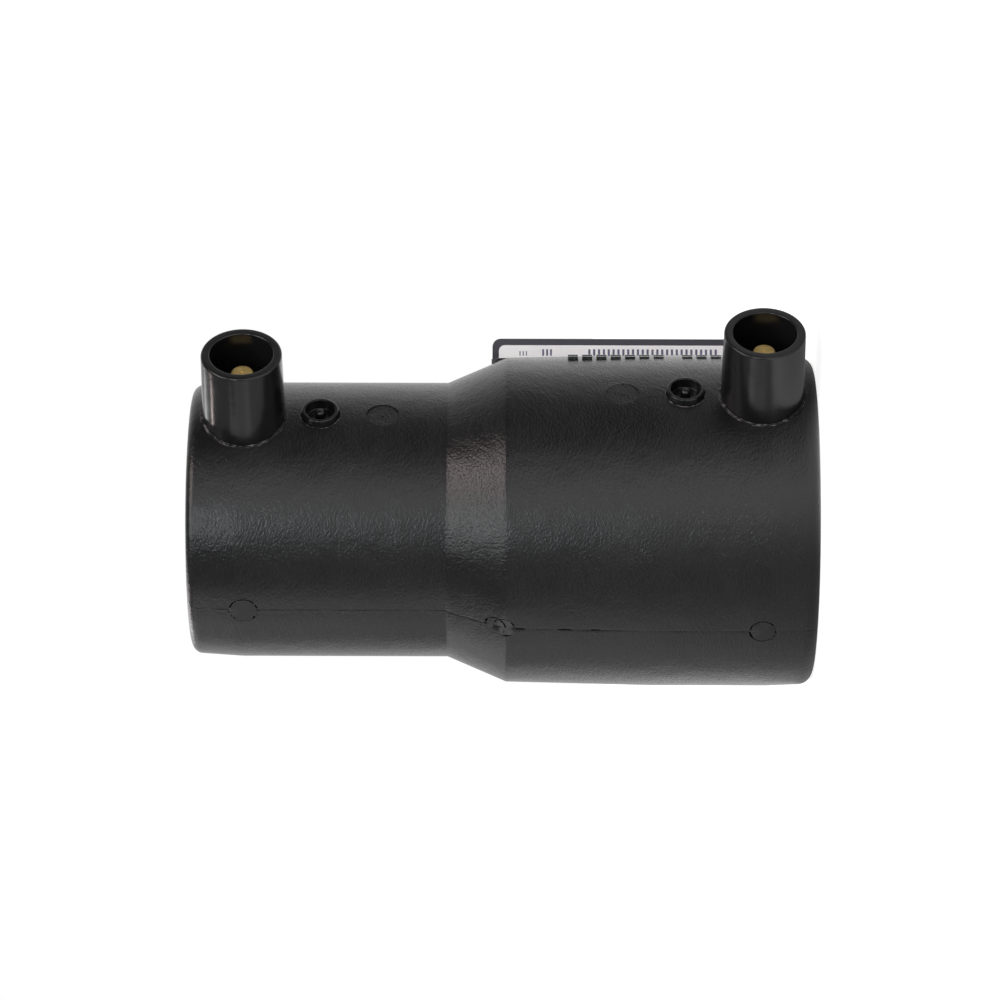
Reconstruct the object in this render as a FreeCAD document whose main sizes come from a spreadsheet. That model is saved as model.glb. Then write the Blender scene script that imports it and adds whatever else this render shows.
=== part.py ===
"""Electrofusion reducer that joins a 50 mm polyethylene pipe to a 40 mm one.

The moulding stands on its large end: the origin is the centre of the large socket's mouth,
+Z runs along the pipe axis to the small end, and both terminals point to -Y.
"""
import FreeCAD, Part
import Sketcher
import math
import os
import re

# Driving dimensions, in millimetres, degrees and whole turns
SIZES = (
    ("overall_length", 131.2, "end face to end face"),
    ("large_outer_dia", 70.2, "crown of the large barrel"),
    ("small_outer_dia", 58.2, "small barrel"),
    ("large_barrel_length", 64.8, "large end face to the start of the cone"),
    ("small_barrel_length", 54.0, "small end face to the end of the cone"),
    ("neck_drop", 0.6, "radius that the large barrel loses towards the cone"),
    ("neck_length", 11.0, "length over which it loses it"),
    ("end_taper_length", 8.0, "mould draft beside each end face"),
    ("large_end_drop", 0.45, "radius lost in the large end's draft"),
    ("small_end_drop", 0.7, "radius lost in the small end's draft"),
    ("end_break", 1.4, "flat that breaks the outer corner of both end faces"),
    ("large_pipe_dia", 50.0, "pipe that the large socket takes"),
    ("small_pipe_dia", 40.0, "pipe that the small socket takes"),
    ("pipe_play", 0.5, "bore over pipe, on the diameter"),
    ("large_socket_depth", 54.0, "mouth to pipe stop"),
    ("small_socket_depth", 48.0, "mouth to pipe stop"),
    ("mouth_chamfer", 1.2, "lead-in of both sockets"),
    ("large_passage_dia", 43.0, "flow passage at the large stop"),
    ("small_passage_dia", 33.2, "flow passage at the small stop"),
    ("passage_cone_length", 5.0, "cone between the two, from the start of the outer cone"),
    ("terminal_from_end", 11.7, "terminal axis to its end face"),
    ("shroud_height", 16.2, "shroud mouth above the barrel"),
    ("shroud_dia", 17.2, "outside of the shroud"),
    ("shroud_well_dia", 13.1, "inside of the shroud"),
    ("shroud_well_depth", 15.7, "mouth of the shroud to its floor"),
    ("shroud_seat_depth", 2.4, "depth of the shroud's seat in the barrel"),
    ("insert_play", 0.05, "gap round each moulded insert"),
    ("pin_dia", 4.7, "contact pin, where the connector grips it"),
    ("shank_dia", 6.4, "thicker shank of the pin, from its foot to the shroud's floor"),
    ("pin_below_mouth", 4.9, "pin's tip below the shroud mouth"),
    ("pin_tip_chamfer", 0.4, "edge of the pin's tip"),
    ("pin_play", 0.06, "gap round the shank in the shroud's floor and the barrel"),
    ("pin_foot_depth", 2.2, "pin's foot below the shroud's seat"),
    ("wire_hole_dia", 1.7, "hole in the pin's foot for the wire"),
    ("wire_hole_depth", 1.9, "depth of that hole"),
    ("wire_width", 1.0, "side of the heating wire's section"),
    ("wire_cover", 0.15, "wire's inner side behind the bore"),
    ("wire_play", 0.08, "gap round the wire in its seat"),
    ("large_coil_start", 15.6, "first turn from the large mouth"),
    ("large_coil_length", 24.0, "first to last turn"),
    ("large_turns", 8, "whole turns in the large socket"),
    ("small_coil_start", 18.0, "first turn from the small mouth"),
    ("small_coil_length", 19.2, "first to last turn"),
    ("small_turns", 6, "whole turns in the small socket"),
    ("turn_chords", 16, "straight chords in each turn"),
    ("crossing_margin", 1.5, "wire's bend behind each pipe stop"),
    ("indicator_from_end", 27.6, "fusion indicator to its end face"),
    ("indicator_height", 1.25, "collar above the barrel"),
    ("indicator_dia", 8.0, "outside of the collar"),
    ("indicator_well_dia", 6.3, "well inside the collar"),
    ("indicator_well_depth", 2.2, "rim to membrane"),
    ("indicator_seat_depth", 2.0, "depth of the collar's seat in the barrel"),
    ("indicator_pin_dia", 2.2, "pin that rises when the joint has melted"),
    ("indicator_stem_dia", 2.0, "stem under the membrane"),
    ("indicator_stem_length", 1.8, "length of that stem"),
    ("channel_play", 0.15, "gap round the stem"),
    ("channel_web", 1.5, "wall left between channel and wire"),
    ("mark_from_end", 40.6, "round recess to its end face"),
    ("mark_dia", 6.8, "round recess"),
    ("mark_depth", 0.35, "depth of the recess"),
    ("label_turn", -49.0, "angle of the label's lead edge about the axis, less its offset"),
    ("label_offset", 5.0, "angle from there to the glued edge"),
    ("label_glued", 25.0, "angle of the glued stretch"),
    ("label_curl", 120.0, "angle of the loose stretch, bent back"),
    ("label_curl_radius", 10.5, "radius of the loose stretch"),
    ("label_thickness", 0.25, "film and print"),
    ("label_glue", 0.05, "glue under the label"),
    ("label_from_end", 8.0, "label to the large end face"),
    ("label_length", 60.1, "label along the axis"),
    ("label_corner", 1.8, "rounding of the label's corners"),
)
ALIASES = {alias for alias, _, _ in SIZES}

# Which way a part that is turned about X by this angle points its own +Z: to -Y
OUTWARD = FreeCAD.Rotation(FreeCAD.Vector(1, 0, 0), 90)
# Turn that lays a sketch's X axis along -Y, so that its X is the distance from the pipe axis
TERMINAL_SIDE = FreeCAD.Rotation(FreeCAD.Vector(0, 1, 0), -90)
# How far a groove reaches past the bore that it opens to
OVERCUT = 0.5
# Two places closer than this are the same, and a feature that changes less than this did nothing
SAME_PLACE = 0.01
LEAST_CHANGE = 0.001
# Each socket's bore, as expressions on the sheet
BORE = {
    "large": "(large_pipe_dia + pipe_play) / 2",
    "small": "(small_pipe_dia + pipe_play) / 2",
}
# The small end of the cone, seen from the large end face
CONE_END = "overall_length - small_barrel_length"


def tie(text):
    """Expression in which each bare size name points to its cell."""
    return re.sub(r"[a-z_]+", lambda word: f"sizes.{word[0]}" if word[0] in ALIASES else word[0], text)


def along(end, distance):
    """Height over the origin of a point at a distance from the large or the small end face."""
    return f"({distance})" if end == "large" else f"(overall_length - ({distance}))"


def surface(end):
    """Radius of the barrel that carries an end's terminal and indicator."""
    return f"{end}_outer_dia / 2"


def make_sheet(doc):
    """Spreadsheet with one named cell for each driving dimension."""
    sheet = doc.addObject("Spreadsheet::Sheet", "sizes")
    for row, (alias, value, note) in enumerate(SIZES, start=1):
        sheet.set(f"A{row}", alias)
        sheet.set(f"B{row}", str(value))
        sheet.set(f"C{row}", note)
        sheet.setAlias(f"B{row}", alias)
    doc.recompute()
    return sheet


def number(owner, text):
    """Present value of an expression."""
    result = owner.evalExpression(tie(text))
    return float(getattr(result, "Value", result))


def make_body(doc, name):
    """Empty body, whose label is the sub-part's name."""
    body = doc.addObject("PartDesign::Body", name)
    body.Label = name
    return body


def add_sketch(body, name, role, offset="0", turn=FreeCAD.Rotation()):
    """Sketch on one of the body's origin planes, moved off it by an offset and turned."""
    sketch = body.newObject("Sketcher::SketchObject", name)
    plane = next(item for item in body.Origin.OriginFeatures if item.Role == role)
    sketch.AttachmentSupport = [(plane, "")]
    sketch.MapMode = "FlatFace"
    sketch.AttachmentOffset = FreeCAD.Placement(FreeCAD.Vector(0, 0, number(sketch, offset)), turn)
    if offset != "0":
        sketch.setExpression(".AttachmentOffset.Base.z", tie(offset))
    return sketch


def pin_point(sketch, edge, point, x, y):
    """Tie one point of an edge to its two coordinates."""
    for kind, axis, text in (("DistanceX", -2, x), ("DistanceY", -1, y)):
        if text == "0":
            sketch.addConstraint(Sketcher.Constraint("PointOnObject", edge, point, axis))
            continue
        size = number(sketch, text)
        index = sketch.addConstraint(Sketcher.Constraint(kind, -1, 1, edge, point, size))
        sketch.setExpression(f"Constraints[{index}]", tie(text))


def add_outline(sketch, corners, arcs=None):
    """Closed outline through corners; arcs maps an edge's number to (radius, centre, turns left)."""
    arcs = arcs or {}
    points = [FreeCAD.Vector(number(sketch, x), number(sketch, y), 0) for x, y in corners]
    first = sketch.GeometryCount
    ends = []
    for index, start in enumerate(points):
        stop = points[(index + 1) % len(points)]
        if index not in arcs:
            sketch.addGeometry(Part.LineSegment(start, stop))
            ends.append((1, 2))
            continue
        radius, centre, turns_left = arcs[index]
        middle = FreeCAD.Vector(*(number(sketch, text) for text in centre), 0)
        begin, finish = (start, stop) if turns_left else (stop, start)
        from_angle, to_angle = (
            math.atan2((point - middle).y, (point - middle).x) for point in (begin, finish)
        )
        if to_angle < from_angle:
            to_angle += math.tau
        circle = Part.Circle(middle, FreeCAD.Vector(0, 0, 1), number(sketch, radius))
        sketch.addGeometry(Part.ArcOfCircle(circle, from_angle, to_angle))
        ends.append((1, 2) if turns_left else (2, 1))
    for index, (x, y) in enumerate(corners):
        following = (index + 1) % len(corners)
        join = (first + index, ends[index][1], first + following, ends[following][0])
        sketch.addConstraint(Sketcher.Constraint("Coincident", *join))
        pin_point(sketch, first + index, ends[index][0], x, y)
    for index, (radius, _, _) in arcs.items():
        size = number(sketch, radius)
        row = sketch.addConstraint(Sketcher.Constraint("Radius", first + index, size))
        sketch.setExpression(f"Constraints[{row}]", tie(radius))


def add_circle(sketch, diameter, height):
    """Circle whose centre lies on the sketch's Y axis."""
    middle = FreeCAD.Vector(0, number(sketch, height), 0)
    size = number(sketch, diameter)
    circle = sketch.addGeometry(Part.Circle(middle, FreeCAD.Vector(0, 0, 1), size / 2))
    pin_point(sketch, circle, 3, "0", height)
    row = sketch.addConstraint(Sketcher.Constraint("Diameter", circle, size))
    sketch.setExpression(f"Constraints[{row}]", tie(diameter))


def revolve(body, name, corners):
    """Outline in the XZ plane turned once round the body's Z axis."""
    sketch = add_sketch(body, f"{name}_outline", "XZ_Plane")
    add_outline(sketch, corners)
    turned = body.newObject("PartDesign::Revolution", name)
    turned.Profile = (sketch, [""])
    turned.ReferenceAxis = (sketch, ["V_Axis"])
    turned.Angle = 360
    return turned


def cut_outward(body, name, floor, diameter, height):
    """Round cut from a flat floor out to -Y."""
    sketch = add_sketch(body, f"{name}_outline", "XZ_Plane", floor)
    add_circle(sketch, diameter, height)
    pocket = body.newObject("PartDesign::Pocket", name)
    pocket.Profile = (sketch, [""])
    pocket.Type = "ThroughAll"
    pocket.Reversed = True
    return pocket


def make_coil(doc, end):
    """Turns of square wire just behind a bore, each turn drawn with straight chords round the helix."""
    sheet = doc.getObject("sizes")
    inner = number(sheet, f"{BORE[end]} + wire_cover")
    width = number(sheet, "wire_width")
    low = f"{end}_coil_start" if end == "large" else "small_coil_start + small_coil_length"
    bottom = number(sheet, f"{along(end, low)} - wire_width / 2")
    rise = number(sheet, f"{end}_coil_length")
    turns = round(number(sheet, f"{end}_turns"))
    chords = round(number(sheet, "turn_chords"))
    step = math.tau / chords
    stations = [(0.0, 1.0)]
    stations += [((index + 0.5) * step, 1 / math.cos(step / 2)) for index in range(turns * chords)]
    stations.append((turns * math.tau, 1.0))
    sections = []
    for angle, stretch in stations:
        height = bottom + rise * angle / (turns * math.tau)
        outward = FreeCAD.Vector(math.sin(angle), -math.cos(angle), 0) * stretch
        corners = [
            outward * (inner + across * width) + FreeCAD.Vector(0, 0, height + up * width)
            for across, up in ((0, 0), (1, 0), (1, 1), (0, 1))
        ]
        sections.append(Part.makePolygon(corners + corners[:1]))
    coil = doc.addObject("Part::Feature", f"{end}_coil")
    coil.Shape = Part.makeLoft(sections, True, True)
    return coil


def lead_outline(end, play):
    """Riser from the pin's foot down to the coil's first turn, in the plane of the terminals."""
    half = f"(wire_width / 2 + {play})"
    inner = f"{BORE[end]} + wire_cover" if play == "0" else f"{BORE[end]} - {OVERCUT}"
    outer = f"{BORE[end]} + wire_cover + wire_width + {play}"
    top = f"{pin_foot(end)} + wire_hole_depth - wire_width / 2 + {play}"
    near, far = f"terminal_from_end - {half}", f"terminal_from_end + {half}"
    foot = f"{end}_coil_start + {half}"
    return [
        (inner, along(end, near)),
        (top, along(end, near)),
        (top, along(end, far)),
        (outer, along(end, far)),
        (outer, along(end, foot)),
        (inner, along(end, foot)),
    ]


def crossing_outline(play):
    """Run that joins the two coils: along each bore, and inclined through the wall between them."""
    half = f"(wire_width / 2 + {play})"
    inner = {end: f"{BORE[end]} + wire_cover - {play}" for end in BORE}
    outer = {end: f"{BORE[end]} + wire_cover + wire_width + {play}" for end in BORE}
    last = {end: along(end, f"{end}_coil_start + {end}_coil_length - {half}") for end in BORE}
    stop = {end: along(end, f"{end}_socket_depth") for end in BORE}
    bend = {end: along(end, f"{end}_socket_depth + crossing_margin") for end in BORE}
    corners = [(outer[end], place[end]) for end, place in
               (("large", last), ("large", bend), ("small", bend), ("small", last))]
    for end in ("small", "large"):
        towards = [(inner[end], bend[end])]
        if play == "0":
            away = [(inner[end], last[end])]
        else:
            opened = f"{BORE[end]} - {OVERCUT}"
            away = [(inner[end], stop[end]), (opened, stop[end]), (opened, last[end])]
        corners += away[::-1] + towards if end == "small" else towards + away
    return corners


def pin_foot(end):
    """Distance of a contact pin's foot from the pipe axis."""
    return f"{surface(end)} - shroud_seat_depth - pin_foot_depth"


def add_leads(body, kind, name, play):
    """Straight runs of the wire, or the cuts that take them, as thick as the wire."""
    sketch = add_sketch(body, f"{name}_outline", "XZ_Plane", turn=TERMINAL_SIDE)
    for outline in (lead_outline("large", play), lead_outline("small", play), crossing_outline(play)):
        add_outline(sketch, outline)
    runs = body.newObject(kind, name)
    runs.Profile = (sketch, [""])
    runs.SideType = "Symmetric"
    runs.setExpression("Length", tie(f"wire_width + 2 * {play}"))
    return runs


def end_corners(end):
    """Outside corner of an end face, from the face to the barrel: a flat breaks it, then the draft."""
    edge = f"{surface(end)} - {end}_end_drop"
    return [
        (f"{edge} - end_break", along(end, "0")),
        (edge, along(end, "end_break")),
        (surface(end), along(end, "end_taper_length")),
    ]


def socket_corners(end):
    """Inside of a socket, from its mouth to its pipe stop, with the recess that holds the coil."""
    recess = f"({BORE[end]} + wire_cover + wire_width) / cos(180deg / turn_chords) + wire_play"
    margin = "wire_width / 2 + wire_play"
    near = along(end, f"{end}_coil_start - ({margin})")
    far = along(end, f"{end}_coil_start + {end}_coil_length + {margin}")
    return [
        (f"{BORE[end]} + mouth_chamfer", along(end, "0")),
        (BORE[end], along(end, "mouth_chamfer")),
        (BORE[end], near),
        (recess, near),
        (recess, far),
        (BORE[end], far),
        (BORE[end], along(end, f"{end}_socket_depth")),
        (f"{end}_passage_dia / 2", along(end, f"{end}_socket_depth")),
    ]


def make_reducer_body(doc):
    """Moulding: two barrels and a cone, stepped bore, seats for the inserts and the wire's way."""
    body = make_body(doc, "reducer_body")
    cone = [
        (f"{surface('large')}", "large_barrel_length - neck_length"),
        (f"{surface('large')} - neck_drop", "large_barrel_length"),
        (surface("small"), CONE_END),
    ]
    passage = [
        ("small_passage_dia / 2", "large_barrel_length + passage_cone_length"),
        ("large_passage_dia / 2", "large_barrel_length"),
    ]
    outside = end_corners("large") + cone + end_corners("small")[::-1]
    revolve(body, "moulding", outside + socket_corners("small") + passage + socket_corners("large")[::-1])
    for end in BORE:
        place = along(end, "terminal_from_end")
        seat = f"{surface(end)} - shroud_seat_depth"
        cut_outward(body, f"{end}_shroud_seat", seat, "shroud_dia + 2 * insert_play", place)
        cut_outward(body, f"{end}_pin_hole", pin_foot(end), "shank_dia + 2 * pin_play", place)
        place = along(end, "indicator_from_end")
        seat = f"{surface(end)} - indicator_seat_depth"
        cut_outward(body, f"{end}_indicator_seat", seat, "indicator_dia + 2 * insert_play", place)
        web = f"{BORE[end]} + wire_cover + wire_width + channel_web"
        cut_outward(body, f"{end}_channel", web, "indicator_stem_dia + 2 * channel_play", place)
        floor = f"{surface(end)} - mark_depth"
        cut_outward(body, f"{end}_mark", floor, "mark_dia", along(end, "mark_from_end"))
    add_leads(body, "PartDesign::Pocket", "wire_ways", "wire_play")
    return body


def make_heating_wire(doc):
    """One wire: riser, coil in the large socket, crossing, coil in the small socket, riser."""
    runs = make_body(doc, "wire_runs")
    add_leads(runs, "PartDesign::Pad", "leads", "0")
    wire = doc.addObject("Part::MultiFuse", "heating_wire")
    wire.Label = "heating_wire"
    wire.Shapes = [make_coil(doc, "large"), runs, make_coil(doc, "small")]
    wire.Refine = True
    return wire


def place_outward(body, end, distance):
    """Stand an insert's own Z axis outwards at a distance from an end face."""
    height = along(end, distance)
    body.Placement = FreeCAD.Placement(FreeCAD.Vector(0, 0, number(body, height)), OUTWARD)
    body.setExpression(".Placement.Base.z", tie(height))


def shroud_floor(end):
    """Distance of a shroud's floor from the pipe axis."""
    return f"{surface(end)} + shroud_height - shroud_well_depth"


def make_shroud(doc, end):
    """Guard round a contact pin: a deep cup, seated in the barrel, with the pin through its floor."""
    body = make_body(doc, f"terminal_shroud_{end}_end")
    seat = f"{surface(end)} - shroud_seat_depth"
    mouth = f"{surface(end)} + shroud_height"
    revolve(body, f"{end}_shroud", [
        ("shank_dia / 2 + pin_play", seat),
        ("shroud_dia / 2", seat),
        ("shroud_dia / 2", mouth),
        ("shroud_well_dia / 2", mouth),
        ("shroud_well_dia / 2", shroud_floor(end)),
        ("shank_dia / 2 + pin_play", shroud_floor(end)),
    ])
    place_outward(body, end, "terminal_from_end")
    return body


def make_pin(doc, end):
    """Turned contact pin: a thick shank, whose drilled foot takes the wire, and the free end above it."""
    body = make_body(doc, f"terminal_pin_{end}_end")
    foot = pin_foot(end)
    tip = f"{surface(end)} + shroud_height - pin_below_mouth"
    revolve(body, f"{end}_pin", [
        ("wire_hole_dia / 2", foot),
        ("shank_dia / 2", foot),
        ("shank_dia / 2", shroud_floor(end)),
        ("pin_dia / 2", shroud_floor(end)),
        ("pin_dia / 2", f"{tip} - pin_tip_chamfer"),
        ("pin_dia / 2 - pin_tip_chamfer", tip),
        ("0", tip),
        ("0", f"{foot} + wire_hole_depth"),
        ("wire_hole_dia / 2", f"{foot} + wire_hole_depth"),
    ])
    place_outward(body, end, "terminal_from_end")
    return body


def make_indicator(doc, end):
    """Fusion indicator: collar, thin membrane, the pin that rises on it and the stem below."""
    body = make_body(doc, f"fusion_indicator_{end}_end")
    seat = f"{surface(end)} - indicator_seat_depth"
    rim = f"{surface(end)} + indicator_height"
    membrane = f"{rim} - indicator_well_depth"
    revolve(body, f"{end}_indicator", [
        ("0", f"{seat} - indicator_stem_length"),
        ("indicator_stem_dia / 2", f"{seat} - indicator_stem_length"),
        ("indicator_stem_dia / 2", seat),
        ("indicator_dia / 2", seat),
        ("indicator_dia / 2", rim),
        ("indicator_well_dia / 2", rim),
        ("indicator_well_dia / 2", membrane),
        ("indicator_pin_dia / 2", membrane),
        ("indicator_pin_dia / 2", rim),
        ("0", rim),
    ])
    place_outward(body, end, "indicator_from_end")
    return body


def make_label(doc):
    """Printed label: a stretch glued round the large barrel, and a loose one bent back off it."""
    body = make_body(doc, "data_label")
    glued = f"({surface('large')} + label_glue)"
    first = "label_offset * 1deg"
    bend = "(label_offset + label_glued) * 1deg"
    free = "(label_offset + label_glued + 180 - label_curl) * 1deg"
    reach = f"({glued} + label_thickness + label_curl_radius)"
    centre = (f"{reach} * cos({bend})", f"{reach} * sin({bend})")

    def on_barrel(radius, angle):
        return f"{radius} * cos({angle})", f"{radius} * sin({angle})"

    def on_curl(radius):
        return f"{centre[0]} + {radius} * cos({free})", f"{centre[1]} + {radius} * sin({free})"

    face, print_face = glued, f"({glued} + label_thickness)"
    back, front = "(label_curl_radius + label_thickness)", "label_curl_radius"
    sketch = add_sketch(body, "label_section", "XY_Plane")
    add_outline(
        sketch,
        [
            on_barrel(face, first),
            on_barrel(print_face, first),
            on_barrel(print_face, bend),
            on_curl(front),
            on_curl(back),
            on_barrel(face, bend),
        ],
        {
            1: (print_face, ("0", "0"), True),
            2: (front, centre, False),
            4: (back, centre, True),
            5: (face, ("0", "0"), False),
        },
    )
    film = body.newObject("PartDesign::Pad", "film")
    film.Profile = (sketch, [""])
    film.setExpression("Length", tie("label_length"))
    doc.recompute()
    thickness = number(film, "label_thickness")
    names = []
    for index, edge in enumerate(film.Shape.Edges, start=1):
        if abs(edge.Length - thickness) < SAME_PLACE:
            names.append(f"Edge{index}")
    corners = body.newObject("PartDesign::Fillet", "label_corners")
    corners.Base = (film, names)
    corners.setExpression("Radius", tie("label_corner"))
    turn = FreeCAD.Rotation(FreeCAD.Vector(0, 0, 1), number(body, "label_turn"))
    body.Placement = FreeCAD.Placement(FreeCAD.Vector(0, 0, number(body, "label_from_end")), turn)
    body.setExpression(".Placement.Base.z", tie("label_from_end"))
    body.setExpression(".Placement.Rotation.Angle", tie("label_turn * 1deg"))
    return body


def check(doc, parts):
    """Stop if an object failed, a cut or a pad changed nothing, or a sub-part isn't one valid solid."""
    for item in doc.Objects:
        if {"Invalid", "Error"} & set(item.State):
            raise RuntimeError(f"{item.Name} failed: {item.State}")
        base = getattr(item, "BaseFeature", None)
        if base is not None and abs(item.Shape.Volume - base.Shape.Volume) < LEAST_CHANGE:
            raise RuntimeError(f"{item.Name} changes nothing")
    for part in parts:
        shape = part.Shape
        if shape.isNull() or not shape.isValid() or len(shape.Solids) != 1:
            raise RuntimeError(f"{part.Label} isn't one valid solid")


def main():
    """Build, check and write every sub-part."""
    doc = FreeCAD.newDocument("electrofusion_reducer")
    make_sheet(doc)
    parts = [make_reducer_body(doc), make_heating_wire(doc), make_label(doc)]
    for end in BORE:
        parts += [make_shroud(doc, end), make_pin(doc, end), make_indicator(doc, end)]
    doc.recompute()
    check(doc, parts)
    os.makedirs("parts", exist_ok=True)
    for part in parts:
        part.Shape.exportStep(f"parts/{part.Label}.step")
        box = part.Shape.BoundBox
        print(f"{part.Label}: {part.Shape.Volume:.1f} mm3, z {box.ZMin:.2f} to {box.ZMax:.2f}")


main()
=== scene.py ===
"""Looks of an electrofusion reducer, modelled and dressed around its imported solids.

Every length is in metres, and in millimetres where a docstring says so. The fitting stands on
its large end, +Z runs along the pipe axis to the small end, and both terminals point to -Y,
which is called outwards here.
"""

import logging
import math
from abc import ABC, abstractmethod
from dataclasses import dataclass, replace
from enum import Enum
from functools import cached_property
from typing import Any, Callable, Mapping, Sequence

import bmesh
import bpy
from mathutils import Matrix, Vector, noise

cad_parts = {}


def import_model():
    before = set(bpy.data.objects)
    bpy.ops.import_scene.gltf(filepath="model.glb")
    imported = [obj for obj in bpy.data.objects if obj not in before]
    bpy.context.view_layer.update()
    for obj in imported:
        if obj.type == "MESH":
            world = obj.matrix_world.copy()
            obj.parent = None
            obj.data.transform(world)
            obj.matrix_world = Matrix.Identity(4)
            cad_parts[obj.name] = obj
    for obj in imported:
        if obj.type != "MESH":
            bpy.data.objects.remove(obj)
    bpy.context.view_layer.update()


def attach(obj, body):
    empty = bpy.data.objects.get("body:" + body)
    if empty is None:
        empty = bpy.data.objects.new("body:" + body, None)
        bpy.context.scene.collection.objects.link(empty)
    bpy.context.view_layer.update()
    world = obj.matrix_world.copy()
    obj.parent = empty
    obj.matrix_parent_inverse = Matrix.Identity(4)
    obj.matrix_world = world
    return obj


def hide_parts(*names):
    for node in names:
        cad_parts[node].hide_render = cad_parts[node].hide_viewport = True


MM = 0.001
LOG = logging.getLogger("reducer")

Point = tuple[float, float]
Corner = tuple[float, float, float]
Colour = tuple[float, float, float]
Relief = Callable[[float, float], float]
BMesh = bmesh.types.BMesh
Object = bpy.types.Object
Material = bpy.types.Material

WHITE: Colour = (1.0, 1.0, 1.0)
# Height of the whole fitting
OVERALL = 131.2 * MM
# Longest step of an arc, in radians
ARC_STEP = math.radians(12.0)
# Edges that turn more than this stay sharp in the shading
SHARP = math.radians(32.0)


class Slot(Enum):
    """The record's material slots."""

    MOULDED = "moulded_polyethylene"
    SMOOTH = "smooth_polyethylene"
    BRASS = "contact_brass"
    WIRE = "resistance_wire"
    LABEL = "label_film"


class End(Enum):
    """The two ends of the fitting."""

    LARGE = "large"
    SMALL = "small"


class Value:
    """A socket whose arithmetic adds Math nodes to its graph."""

    def __init__(self, graph: "Graph", socket: bpy.types.NodeSocket) -> None:
        """Hold a graph's output socket."""
        self.graph, self.socket = graph, socket

    def __add__(self, other: Any) -> "Value":
        """Sum."""
        return self.graph.math("ADD", self, other)

    def __sub__(self, other: Any) -> "Value":
        """Difference."""
        return self.graph.math("SUBTRACT", self, other)

    def __rsub__(self, other: Any) -> "Value":
        """Difference from something else."""
        return self.graph.math("SUBTRACT", other, self)

    def __mul__(self, other: Any) -> "Value":
        """Product."""
        return self.graph.math("MULTIPLY", self, other)

    def __truediv__(self, other: Any) -> "Value":
        """Quotient."""
        return self.graph.math("DIVIDE", self, other)

    def __neg__(self) -> "Value":
        """Opposite."""
        return self * -1.0

    __radd__ = __add__
    __rmul__ = __mul__

    def at_least(self, other: Any) -> "Value":
        """The larger of this and another."""
        return self.graph.math("MAXIMUM", self, other)

    def at_most(self, other: Any) -> "Value":
        """The smaller of this and another."""
        return self.graph.math("MINIMUM", self, other)

    def below(self, limit: Any) -> "Value":
        """1 where this is under the limit, and 0 elsewhere."""
        return self.graph.math("LESS_THAN", self, limit)

    def between(self, low: float, high: float) -> "Value":
        """1 where this lies between two limits, and 0 elsewhere."""
        return self.below(high) - self.below(low)

    def step(self, low: float, high: float) -> "Value":
        """0 under a limit, 1 over another, and smooth between them."""
        inputs = {0: self, 1: low, 2: high}
        return self.graph.value("ShaderNodeMapRange", inputs, interpolation_type="SMOOTHSTEP")


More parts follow.
